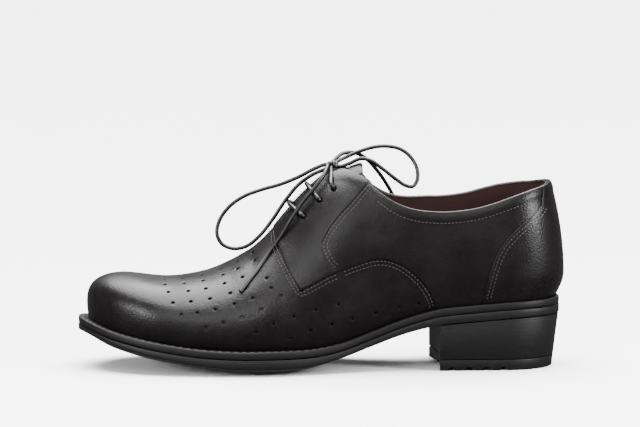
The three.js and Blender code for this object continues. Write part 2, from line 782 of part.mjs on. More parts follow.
// A bar of lace from eyelet to eyelet: over both facings, and lower between them.
const overFacing = facingLevel + gap + laceDiameter / 2;
const betweenFacings = laceDiameter / 2;
function laceBar(index) {
  const s = crossings[index];
  const reach = halfGap(s) + eyeletInset;
  const half = 6;
  const points = Array.from({ length: 2 * half + 1 }, (_, i) => {
    const across = i / half - 1;
    const rise = THREE.MathUtils.smoothstep(Math.abs(across), 0.15, 0.5);
    const out = betweenFacings + (overFacing - betweenFacings) * rise;
    return crossPoint(across < 0 ? LATERAL : MEDIAL, s, reach * Math.abs(across), out);
  });
  return cord(points, laceDiameter / 2, 14);
}

const knotLength = 1.35;
function knot() {
  const ball = new THREE.SphereGeometry(knotRadius, 12, 8).scale(knotLength, 1, 1);
  return fromGeometry(ball.translate(...knotPlace().toArray()));
}

// Cords that leave the knot; their routes start just clear of it.
const fromKnot = (p) => knotPlace().add(new THREE.Vector3(-p.forward, p.medial, p.up));
const bowCord = (route, steps) => cord(route.map(fromKnot), laceDiameter / 2, steps);

// The strand from a top eyelet up to the knot.
function topStrand(side) {
  const { foot, normal } = eyelets(side)[crossings.length - 1];
  const start = foot.clone().addScaledVector(normal, overFacing);
  const end = fromKnot({ forward: 1, medial: side * 3.4, up: -1.6 });
  const middle = start.clone().lerp(end, 0.5).addScaledVector(normal, 1.5 * laceDiameter);
  return cord([start, middle, end], laceDiameter / 2, 6);
}

const leather = new THREE.MeshStandardMaterial({ color: 0x141214, roughness: 0.38, metalness: 0 });
const liningLeather = new THREE.MeshStandardMaterial({ color: 0x33211f, roughness: 0.7, metalness: 0 });
const rubber = new THREE.MeshStandardMaterial({ color: 0x1c1a1b, roughness: 0.6, metalness: 0 });
const waxedCord = new THREE.MeshStandardMaterial({ color: 0x101010, roughness: 0.5, metalness: 0 });

const shoe = new THREE.Group();

function add(name, solid, material) {
  const mesh = solid.getMesh();
  const geometry = new THREE.BufferGeometry();
  geometry.setAttribute('position', new THREE.BufferAttribute(new Float32Array(mesh.vertProperties), 3));
  geometry.setIndex(new THREE.BufferAttribute(new Uint32Array(mesh.triVerts), 1));
  geometry.computeVertexNormals();
  const part = new THREE.Mesh(geometry, material);
  part.name = name;
  shoe.add(part);
  return part;
}

add('outsole', outsole(), rubber);
add('welt', welt(), rubber);
add('heel', heel(), rubber);
add('top_piece', topPiece(), rubber);
add('insole', insole(), liningLeather);
add('upper', upper(), leather);
add('tongue', tongue(), leather);
for (let i = 0; i < crossings.length - 1; i++) add(`lace_bar_${i + 1}`, laceBar(i), waxedCord);

// The origin lies below the middle of the shoe, measured without the bow.
const box = new THREE.Box3().setFromObject(shoe);
const middle = box.getCenter(new THREE.Vector3());

add('lace_knot', knot(), waxedCord);
add('lace_strand_lateral', topStrand(LATERAL), waxedCord);
add('lace_strand_medial', topStrand(MEDIAL), waxedCord);
add('lace_loop_front', bowCord(frontLoop, 30), waxedCord);
add('lace_loop_back', bowCord(backLoop, 26), waxedCord);
add('lace_end_front', bowCord(frontEnd, 12), waxedCord);
add('lace_end_back', bowCord(backEnd, 20), waxedCord);

shoe.position.set(-middle.x, -middle.y, -box.min.z);

export default shoe;
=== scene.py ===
"""A left derby shoe in black leather with a block heel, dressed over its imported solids.

Sizes are kept in millimetres, as a last maker gives them, and every mesh is made in metres in the row frame.
"""
import logging
import math
from collections.abc import Callable, Sequence
from dataclasses import dataclass, field
from enum import Enum, IntEnum

import bpy
import numpy as np
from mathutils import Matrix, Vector
from mathutils.geometry import delaunay_2d_cdt
from numpy.typing import NDArray


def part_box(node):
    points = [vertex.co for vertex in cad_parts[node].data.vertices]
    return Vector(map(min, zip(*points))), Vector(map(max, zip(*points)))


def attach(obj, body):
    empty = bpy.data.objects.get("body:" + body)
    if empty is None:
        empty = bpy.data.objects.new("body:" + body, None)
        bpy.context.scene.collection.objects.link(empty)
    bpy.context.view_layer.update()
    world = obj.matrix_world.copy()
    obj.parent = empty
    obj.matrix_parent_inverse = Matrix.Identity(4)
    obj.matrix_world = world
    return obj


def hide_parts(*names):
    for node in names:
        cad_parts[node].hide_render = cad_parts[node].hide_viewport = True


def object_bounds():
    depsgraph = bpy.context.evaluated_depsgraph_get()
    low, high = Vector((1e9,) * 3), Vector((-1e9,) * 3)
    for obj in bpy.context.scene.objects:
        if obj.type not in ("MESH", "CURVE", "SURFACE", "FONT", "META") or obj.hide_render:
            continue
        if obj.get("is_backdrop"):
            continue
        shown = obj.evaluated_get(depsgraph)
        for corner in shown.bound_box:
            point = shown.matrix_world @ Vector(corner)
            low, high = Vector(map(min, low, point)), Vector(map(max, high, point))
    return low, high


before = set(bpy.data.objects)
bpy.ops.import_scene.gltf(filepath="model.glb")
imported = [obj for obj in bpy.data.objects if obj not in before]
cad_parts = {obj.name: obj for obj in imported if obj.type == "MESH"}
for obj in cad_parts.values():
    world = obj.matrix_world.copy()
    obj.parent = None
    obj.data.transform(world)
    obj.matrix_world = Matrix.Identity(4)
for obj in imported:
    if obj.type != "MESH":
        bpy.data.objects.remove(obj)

Array = NDArray[np.float64]
MM = 0.001
LOG = logging.getLogger("shoe")


class Side(IntEnum):
    """Sides of the shoe, with the sign of their Y."""

    LATERAL = -1
    MEDIAL = 1


class Table:
    """A short table of sections, read as smooth curves through its named columns."""

    def __init__(self, names: str, *rows: tuple[float, ...]) -> None:
        """Keep the rows.

        Args:
            names: The column names, the first being the station.
            rows: One tuple a section, in order of station.
        """
        self.names = names.split()
        self.rows = np.array(rows, dtype=float)

    def __call__(self, name: str, s: Array | float) -> Array:
        """Read a column.

        Args:
            name: The column to read.
            s: Stations to read it at.

        Returns:
            The column's value at each station.
        """
        x, y = self.rows[:, 0], self.rows[:, self.names.index(name)]
        last = len(x) - 1
        before, after = np.maximum(np.arange(last + 1) - 1, 0), np.minimum(np.arange(last + 1) + 1, last)
        slope = (y[after] - y[before]) / (x[after] - x[before])
        s = np.asarray(s, dtype=float)
        i = np.clip(np.searchsorted(x, s, side="left") - 1, 0, last - 1)
        width = x[i + 1] - x[i]
        u = np.clip((s - x[i]) / width, 0, 1)
        rise, fall, step = slope[i] * width, slope[i + 1] * width, y[i + 1] - y[i]
        return y[i] + u * (rise + u * (3 * step - 2 * rise - fall + u * (rise + fall - 2 * step)))


def smoothstep(x: Array | float, low: float, high: float) -> Array:
    """Rise smoothly from 0 at low to 1 at high.

    Args:
        x: Where to read it.
        low: Where it starts to rise.
        high: Where it is 1.

    Returns:
        The value, from 0 to 1.
    """
    t = np.clip((np.asarray(x, dtype=float) - low) / (high - low), 0, 1)
    return t * t * (3 - 2 * t)


PLAN = Table("s middle half",
    (-0.05, 0, 0.325), (0.0, 0, 0.33), (0.12, 0, 0.335), (0.25, -0.012, 0.325), (0.4, -0.042, 0.33),
    (0.5, -0.056, 0.385), (0.62, -0.042, 0.47), (0.7, -0.006, 0.5), (0.8, 0.024, 0.482), (0.9, 0.05, 0.43),
    (1.0, 0.068, 0.375), (1.05, 0.074, 0.35))
SOLE_LINE = Table("s heel spring lift outsole",
    (-0.05, 1.01, 0, 0, 1), (0.0, 1.0, 0, 0, 1), (0.1, 0.97, 0, 0, 1), (0.2, 0.9, 0, 0, 1),
    (0.26, 0.845, 0, 0, 0.98), (0.33, 0.7, 0, 0, 0.86), (0.4, 0.48, 0, 0.05, 0.8), (0.46, 0.27, 0, 0.25, 0.82),
    (0.51, 0.1, 0, 0.7, 0.95), (0.55, 0.02, 0, 0.95, 1.07), (0.62, 0, 0, 1, 1.14), (0.69, 0, 0.01, 1, 1.1),
    (0.76, 0, 0.1, 1, 0.95), (0.82, 0, 0.23, 1, 0.82), (0.89, 0, 0.43, 0.95, 0.72), (0.95, 0, 0.68, 0.75, 0.64),
    (1.0, 0, 1.02, 0.3, 0.56), (1.04, 0, 1.2, 0.2, 0.54))
SECTIONS = Table("s ridge round",
    (0.0, 1.15, 1.72), (0.12, 1.14, 1.75), (0.2, 1.03, 2.0), (0.33, 0.965, 2.25), (0.42, 1.01, 2.2), (0.47, 1.0, 2.08),
    (0.505, 0.972, 1.85), (0.545, 0.89, 1.66), (0.583, 0.762, 1.66), (0.61, 0.662, 1.74), (0.652, 0.556, 1.86),
    (0.716, 0.453, 2.02), (0.76, 0.403, 2.1), (0.834, 0.35, 2.35), (0.91, 0.34, 2.7), (1.0, 0.33, 2.9))
SWELL = Table("s out rise",
    (0.0, 0.056, 0.145), (0.12, 0.036, 0.16), (0.25, 0.03, 0.18), (0.4, 0.042, 0.19), (0.5, 0.036, 0.16),
    (0.62, 0.026, 0.12), (0.75, 0.021, 0.095), (0.9, 0.014, 0.09), (1.0, 0.01, 0.09))


@dataclass(frozen=True)
class Last:
    """The foot form that the shoe is built on, in millimetres, with its feather edge, bed and sections.

    A point on it is given by its side, by a, which runs from the back of the heel (0) to the toe (1), and by its
    level: 0 at the feather edge, 1 at the widest level and 2 on the ridge.
    """

    length: float = 251.0
    ball_width: float = 84.0
    instep_height: float = 91.0
    heel_rise: float = 29.0
    toe_spring: float = 17.8
    edge_lift: float = 4.0
    outsole: float = 4.4
    welt: float = 3.8
    gap: float = 0.3
    heel_fan: float = 0.24
    toe_fan: float = 0.183
    heel_round: float = 0.115
    toe_round: float = 0.17
    squareness: float = 2.15

    def station(self, x: Array) -> Array:
        """Give the station of a place along the shoe."""
        return -x / self.length

    def closing(self, s: Array) -> Array:
        """Give how far the plan has closed at heel and toe, 1 being open."""
        def close(u: Array) -> Array:
            u = np.clip(u, 0, 1)
            return (1 - (1 - u) ** self.squareness) ** (1 / self.squareness)
        return close(s / self.heel_round) * close((1 - s) / self.toe_round)

    def sole_edge(self, s: Array) -> Array:
        """Give the height of the outsole's underside along its edge."""
        return (self.heel_rise * SOLE_LINE("heel", s) + self.toe_spring * SOLE_LINE("spring", s)
                + self.edge_lift * SOLE_LINE("lift", s))

    def welt_level(self, s: Array) -> Array:
        """Give the height of the welt's underside."""
        return self.sole_edge(s) + self.outsole * SOLE_LINE("outsole", s) + self.gap

    def bed(self, s: Array) -> Array:
        """Give the height of the welt's top."""
        return self.welt_level(s) + self.welt

    def wrap(self, side: Array, a: Array) -> tuple[Array, Array]:
        """Carry a place that runs past the heel or the toe over to the other side."""
        side = np.where((a < 0) | (a > 1), -side, side)
        return side, np.where(a < 0, -a, np.where(a > 1, 2 - a, a))

    def feather(self, side: Array, a: Array) -> Array:
        """Give points of the feather edge in plan."""
        side, a = self.wrap(side, a)
        s = (1 - np.cos(np.pi * a)) / 2
        y = self.ball_width * (PLAN("middle", s) + side * PLAN("half", s) * self.closing(s))
        return np.stack([-s * self.length, y], -1)

    def outline(self, side: Array, a: Array, out: Array) -> Array:
        """Give points at a distance outside the feather edge in plan."""
        step = 0.002
        side, a, out = np.broadcast_arrays(np.asarray(side, float), np.asarray(a, float), np.asarray(out, float))
        along = self.feather(side, a + step) - self.feather(side, a - step)
        along /= np.linalg.norm(along, axis=-1, keepdims=True)
        normal = np.stack([along[..., 1], -along[..., 0]], -1) * side[..., None]
        return self.feather(side, a) + normal * out[..., None]

    def spine(self, s: Array) -> Array:
        """Give the station on the ridge that a section starts from."""
        heel = self.heel_fan - self.heel_fan / 2 * (1 - (s / self.heel_fan) ** 2)
        toe = 1 - self.toe_fan + self.toe_fan / 2 * (1 - ((1 - s) / self.toe_fan) ** 2)
        return np.where(s < self.heel_fan, heel, np.where(s > 1 - self.toe_fan, toe, s))

    def form(self, side: Array, a: Array, level: Array) -> Array:
        """Give points of the last's own surface."""
        side, a = self.wrap(side, a)
        s = (1 - np.cos(np.pi * a)) / 2
        spine = self.spine(s)
        foot = self.feather(side, a)
        centre = np.stack([-spine * self.length, self.ball_width * PLAN("middle", spine)], -1)
        reach = foot - centre
        wide = 1 + self.ball_width * SWELL("out", s) / np.linalg.norm(reach, axis=-1)
        low = self.bed(s) + self.gap
        middle = low + self.instep_height * SWELL("rise", s)
        high = self.bed(spine) + self.instep_height * SECTIONS("ridge", spine)
        power = 2 / SECTIONS("round", spine)
        angle = np.pi / 2 * np.clip(level - 1, 0, 1)
        share = np.where(level < 1, 1 + (wide - 1) * np.sin(np.pi / 2 * level),
                         wide * np.clip(np.cos(angle), 0, 1) ** power)
        z = np.where(level < 1, low + (middle - low) * level, middle + (high - middle) * np.sin(angle) ** power)
        return np.concatenate([centre + share[..., None] * reach, z[..., None]], -1)

    def ridge(self, s: Array) -> Array:
        """Give points of the ridge."""
        s = np.asarray(s, float)
        return np.stack([-s * self.length, self.ball_width * PLAN("middle", s),
                         self.bed(s) + self.instep_height * SECTIONS("ridge", s)], -1)

    def ridge_normal(self, s: Array) -> Array:
        """Give the way that the surface faces on the ridge."""
        along = self.ridge(np.asarray(s, float) - 0.004) - self.ridge(np.asarray(s, float) + 0.004)
        normal = np.stack([-along[..., 2], np.zeros_like(along[..., 0]), along[..., 0]], -1)
        return normal / np.linalg.norm(normal, axis=-1, keepdims=True)

    def normal(self, side: Array, a: Array, level: Array) -> Array:
        """Give the way that the surface faces."""
        step = 0.004
        side, a, level = np.broadcast_arrays(np.asarray(side, float), np.asarray(a, float), np.asarray(level, float))
        side, a = self.wrap(side, a)
        along = self.form(side, a + step, level) - self.form(side, a - step, level)
        up = self.form(side, a, np.minimum(level + step, 2)) - self.form(side, a, np.maximum(level - step, 0))
        cross = np.cross(along, up) * side[..., None]
        cross /= np.maximum(np.linalg.norm(cross, axis=-1, keepdims=True), 1e-12)
        on_ridge = self.ridge_normal(self.spine((1 - np.cos(np.pi * a)) / 2))
        return np.where((level >= 2 - 1e-9)[..., None], on_ridge, cross)

    def point(self, side: Array, a: Array, level: Array, out: Array | float = 0.0) -> Array:
        """Give points at a distance outside the last's surface."""
        side, a, level, out = np.broadcast_arrays(
            np.asarray(side, float), np.asarray(a, float), np.asarray(level, float), np.asarray(out, float))
        return self.form(side, a, level) + self.normal(side, a, level) * out[..., None]

    def across(self, side: Array, s: Array, distance: Array) -> tuple[Array, Array]:
        """Find where sections lie at distances from the shoe's middle plane.

        Args:
            side: The side's sign.
            s: The sections' stations.
            distance: Millimetres from the middle plane.

        Returns:
            The places a and the levels.
        """
        side, s, distance = np.broadcast_arrays(np.asarray(side, float), np.asarray(s, float),
                                                np.asarray(distance, float))
        a = np.arccos(1 - 2 * s) / np.pi
        middle = self.ball_width * PLAN("middle", s)
        low, high = np.ones(s.shape), np.full(s.shape, 2.0)
        for _ in range(24):
            level = (low + high) / 2
            wide = np.abs(self.form(side, a, level)[..., 1] - middle) > distance
            low, high = np.where(wide, level, low), np.where(wide, high, level)
        return a, np.where(distance == 0, 2.0, (low + high) / 2)

    def square_to_ridge(self, side: float, s: float, distance: float) -> tuple[float, float]:
        """Find a place in the plane square to the ridge at a station.

        Args:
            side: The side's sign.
            s: The station on the ridge.
            distance: Millimetres from the middle plane.

        Returns:
            The place a and the level.
        """
        start, along = self.ridge(s), self.ridge(s - 0.002) - self.ridge(s + 0.002)
        low, high = s - 0.12, s + 0.03
        for _ in range(3):
            at = np.linspace(low, high, 16)
            a, level = self.across(side, at, distance)
            ahead = (self.form(np.full(16, float(side)), a, level) - start) @ along
            i = int(np.clip(np.argmax(ahead <= 0), 1, 15))
            low, high = at[i - 1], at[i]
        share = ahead[i - 1] / (ahead[i - 1] - ahead[i])
        return tuple(float(v[i - 1] + (v[i] - v[i - 1]) * share) for v in (a, level))

    def girth(self, side: Array, a: Array, level: Array) -> Array:
        """Measure along sections from the ridge down to places on them."""
        t = np.linspace(0, 1, 26)
        levels = level[..., None] + (2 - level[..., None]) * t
        points = self.form(np.broadcast_to(side[..., None], levels.shape),
                           np.broadcast_to(a[..., None], levels.shape), levels)
        return np.linalg.norm(np.diff(points, axis=-2), axis=-1).sum(-1)

    def flat(self, side: Array, a: Array, level: Array) -> Array:
        """Lay places out flat: each section is unrolled from the ridge, so that a pattern piece is drawn in a plane."""
        side, a = self.wrap(side, a)
        s = (1 - np.cos(np.pi * a)) / 2
        spine = self.spine(s)
        centre = np.stack([-spine * self.length, self.ball_width * PLAN("middle", spine)], -1)
        reach = self.feather(side, a) - centre
        reach /= np.linalg.norm(reach, axis=-1, keepdims=True)
        return centre + reach * self.girth(side, a, level)[..., None]

    def seen_from_side(self, side: float, x: Array, z: Array) -> Array:
        """Find the places that lie at heights and stations seen from the side.

        Args:
            side: The side's sign.
            x: Places along the shoe.
            z: Heights above the floor.

        Returns:
            Rows of side, a and level.
        """
        grid_a, grid_level = np.meshgrid(np.linspace(0, 1, 181), np.linspace(0, 2, 91), indexing="ij")
        form = self.form(np.full(grid_a.shape, side), grid_a, grid_level)
        places = []
        for px, pz in zip(x, z):
            nearest = np.unravel_index(np.argmin((form[..., 0] - px) ** 2 + (form[..., 2] - pz) ** 2), grid_a.shape)
            places.append([grid_a[nearest], grid_level[nearest]])
        guess = np.array(places)
        sides, step = np.full(len(guess), side), 0.002
        for _ in range(6):
            a, level = guess[:, 0], guess[:, 1]
            here = self.form(sides, a, level)[:, [0, 2]]
            inner_a, inner_level = np.clip(a, step, 1 - step), np.clip(level, step, 2 - step)
            by_a = (self.form(sides, inner_a + step, level) - self.form(sides, inner_a - step, level))[:, [0, 2]]
            by_level = (self.form(sides, a, inner_level + step) - self.form(sides, a, inner_level - step))[:, [0, 2]]
            miss = np.stack([x, z], -1) - here
            det = by_a[:, 0] * by_level[:, 1] - by_a[:, 1] * by_level[:, 0]
            det = np.where(np.abs(det) < 1e-9, 1e-9, det)
            move_a = (miss[:, 0] * by_level[:, 1] - miss[:, 1] * by_level[:, 0]) / det * 2 * step
            move_level = (by_a[:, 0] * miss[:, 1] - by_a[:, 1] * miss[:, 0]) / det * 2 * step
            guess[:, 0] = np.clip(a + np.clip(move_a, -0.01, 0.01), 0, 1)
            guess[:, 1] = np.clip(level + np.clip(move_level, -0.03, 0.03), 0, 2)
        return np.column_stack([sides, guess])


TOPLINE = Table("s height",
    (-0.02, 1.02), (0.0, 1.0), (0.03, 0.83), (0.06, 0.7), (0.1, 0.49), (0.14, 0.27), (0.18, 0.1), (0.225, 0.01),
    (0.255, 0.0), (0.305, 0.08), (0.346, 0.3), (0.379, 0.64), (0.398, 0.9), (0.405, 1.08), (0.43, 1.27), (0.4516, 1.4))
QUARTER_EDGE = (
    (0.597, 0.83), (0.594, 0.74), (0.582, 0.655), (0.568, 0.575), (0.552, 0.494), (0.5226, 0.535), (0.497, 0.574),
    (0.434, 0.64), (0.385, 0.67), (0.344, 0.643), (0.303, 0.563), (0.275, 0.466), (0.256, 0.33))
FACING_EDGE = (
    (0.4034, 1.11), (0.4387, 1.005), (0.4774, 0.89), (0.4996, 0.8), (0.507, 0.75), (0.504, 0.7), (0.4925, 0.637),
    (0.474, 0.591))
COUNTER_EDGE = (
    (0.034, 1.02), (0.037, 0.955), (0.056, 0.905), (0.093, 0.822), (0.12, 0.742), (0.134, 0.675), (0.145, 0.595),
    (0.156, 0.48), (0.162, 0.41))
VAMP_BACK = (
    (0.552, 0.76), (0.54, 0.66), (0.525, 0.61), (0.497, 0.64), (0.434, 0.71), (0.385, 0.74), (0.344, 0.71),
    (0.29, 0.62), (0.262, 0.52), (0.243, 0.4))
PINHOLES = (
    (0.0, (0.8365, 0.7965, 0.756, 0.7143, 0.68)),
    (10.3, (0.8365, 0.7977, 0.7586, 0.7171, 0.6826, 0.65)),
    (20.0, (0.8365, 0.7955, 0.756, 0.7143, 0.6826, 0.647)),
    (29.4, (0.8295, 0.7875, 0.7505, 0.7115, 0.6738)),
    (38.2, (0.82, 0.7823, 0.7423, 0.7, 0.6679, 0.6228)),
    (45.7, (0.8027, 0.7692, 0.7312, 0.6913, 0.653, 0.6137)),
    (54.4, (0.7505, 0.7143, 0.6767, 0.635, 0.5935)),
)
LOW_PINHOLES = (
    (0.5486, 63.5), (0.647, 64.8), (0.6106, 65.4), (0.5673, 71.8), (0.5204, 78.8), (0.4733, 83.4), (0.5736, 81.6),
    (0.533, 87.1), (0.4859, 92.5), (0.442, 94.4), (0.3925, 94.7), (0.341, 94.1), (0.3, 95.3))


@dataclass(frozen=True)
class Pattern:
    """The upper's pattern: its toplines, panels' edges, throat and eyelets, in millimetres on the last."""

    last: Last
    ankle_height: float = 51.4
    back_height: float = 62.5
    ankle_drop: float = 4.5
    throat_half_gap: float = 10.5
    top_half_gap: float = 8.0
    facing_top: float = 0.4516
    throat: float = 0.597
    eyelet_inset: float = 8.5
    crossings: tuple[float, ...] = (0.567, 0.53, 0.494)
    knot: float = 0.473

    def top_height(self, side: float, s: Array) -> Array:
        """Give the topline's height above the floor."""
        last = self.last
        low, high = float(last.bed(np.array(0.255))) + self.ankle_height, float(last.bed(np.array(0.0))) + self.back_height
        inner = self.ankle_drop * (1 - smoothstep(np.abs(s - 0.2), 0.05, 0.2)) if side > 0 else 0.0
        return low + (high - low) * TOPLINE("height", s) + inner

    def half_gap(self, s: Array) -> Array:
        """Give half the gap between the facings."""
        share = np.clip((s - self.facing_top) / (self.throat - self.facing_top), 0, 1)
        return self.top_half_gap + (self.throat_half_gap - self.top_half_gap) * share

    def edge(self, side: float, table: Sequence[tuple[float, float]], count: int = 60) -> Array:
        """Turn a table of stations and heights into a smooth edge on the last.

        Args:
            side: The side's sign.
            table: Rows of station and height, as a share of the instep height.
            count: How many places to give.

        Returns:
            Rows of side, a and level.
        """
        corners = np.array(table) * (-self.last.length, self.last.instep_height)
        line = smooth_line(corners, count)
        return self.last.seen_from_side(side, line[:, 0], line[:, 1])

    def topline(self, side: float, lower: float = 0.0, count: int = 420) -> Array:
        """Give the topline from the back to the facing's top corner, or a line at a depth below it."""
        last = self.last
        a = np.linspace(0, math.acos(1 - 2 * 0.5) / math.pi, count)
        low, high = np.full(count, 1.0), np.full(count, 2.0)
        for _ in range(32):
            level = (low + high) / 2
            place = last.form(np.full(count, side), a, level)
            under = place[:, 2] < self.top_height(side, last.station(place[:, 0])) - lower
            low, high = np.where(under, level, low), np.where(under, high, level)
        place = last.form(np.full(count, side), a, low)
        s = last.station(place[:, 0])
        apart = np.abs(place[:, 1] - last.ball_width * PLAN("middle", s))
        end = int(np.argmax((apart < self.half_gap(s)) & (s > 0.3)))
        return np.column_stack([np.full(count, side), a, low])[: end + 1]

    def lacing(self, side: float, extra: float = 0.0, count: int = 40) -> Array:
        """Give the facing's lacing edge from its top corner to the throat, moved away from the gap by extra."""
        corner = self.topline(side)[-1]
        top = float(self.last.station(self.last.form(*corner[:, None])[0, 0]))
        s = np.linspace(top, self.throat, count)
        a, level = self.last.across(side, s, self.half_gap(s) + extra)
        return np.column_stack([np.full(count, side), a, level])

    def feather(self, side: float, start: float, end: float, count: int = 160) -> Array:
        """Give the feather edge from one place a to another."""
        a = np.linspace(start, end, count)
        return np.column_stack([np.full(count, side), a, np.zeros(count)])

    def eyelets(self, side: float) -> Array:
        """Give the places of one side's eyelets, lowest first."""
        return np.array([[side, *self.last.square_to_ridge(side, s, self.half_gap(s) + self.eyelet_inset)]
                         for s in self.crossings])


def smooth_line(corners: Array, count: int) -> Array:
    """Run a centripetal Catmull-Rom curve through points.

    Args:
        corners: The points that the curve passes.
        count: How many points to give along it.

    Returns:
        Points at even steps of length.
    """
    ends = np.vstack([2 * corners[0] - corners[1], corners, 2 * corners[-1] - corners[-2]])
    pieces = []
    for p0, p1, p2, p3 in zip(ends, ends[1:], ends[2:], ends[3:]):
        t0 = 0.0
        t1 = t0 + max(np.linalg.norm(p1 - p0), 1e-9) ** 0.5
        t2 = t1 + max(np.linalg.norm(p2 - p1), 1e-9) ** 0.5
        t3 = t2 + max(np.linalg.norm(p3 - p2), 1e-9) ** 0.5
        t = np.linspace(t1, t2, 24, endpoint=False)[:, None]
        a1 = (t1 - t) / (t1 - t0) * p0 + (t - t0) / (t1 - t0) * p1
        a2 = (t2 - t) / (t2 - t1) * p1 + (t - t1) / (t2 - t1) * p2
        a3 = (t3 - t) / (t3 - t2) * p2 + (t - t2) / (t3 - t2) * p3
        b1 = (t2 - t) / (t2 - t0) * a1 + (t - t0) / (t2 - t0) * a2
        b2 = (t3 - t) / (t3 - t1) * a2 + (t - t1) / (t3 - t1) * a3
        pieces.append((t2 - t) / (t2 - t1) * b1 + (t - t1) / (t2 - t1) * b2)
    line = np.vstack([*pieces, corners[-1:]])
    return even_line(line, count)


def even_line(line: Array, count: int) -> Array:
    """Place points at even steps along a line."""
    run = np.concatenate([[0], np.cumsum(np.linalg.norm(np.diff(line, axis=0), axis=1))])
    at = np.linspace(0, run[-1], count)
    return np.column_stack([np.interp(at, run, line[:, k]) for k in range(line.shape[1])])


def inside(points: Array, loop: Array) -> NDArray[np.bool_]:
    """Tell which points of the plane lie inside a closed loop."""
    result = np.zeros(len(points), bool)
    x, y = points[:, 0], points[:, 1]
    for (x0, y0), (x1, y1) in zip(loop, np.roll(loop, -1, axis=0)):
        if y0 == y1:
            continue
        result ^= ((y0 > y) != (y1 > y)) & (x < (x1 - x0) * (y - y0) / (y1 - y0) + x0)
    return result


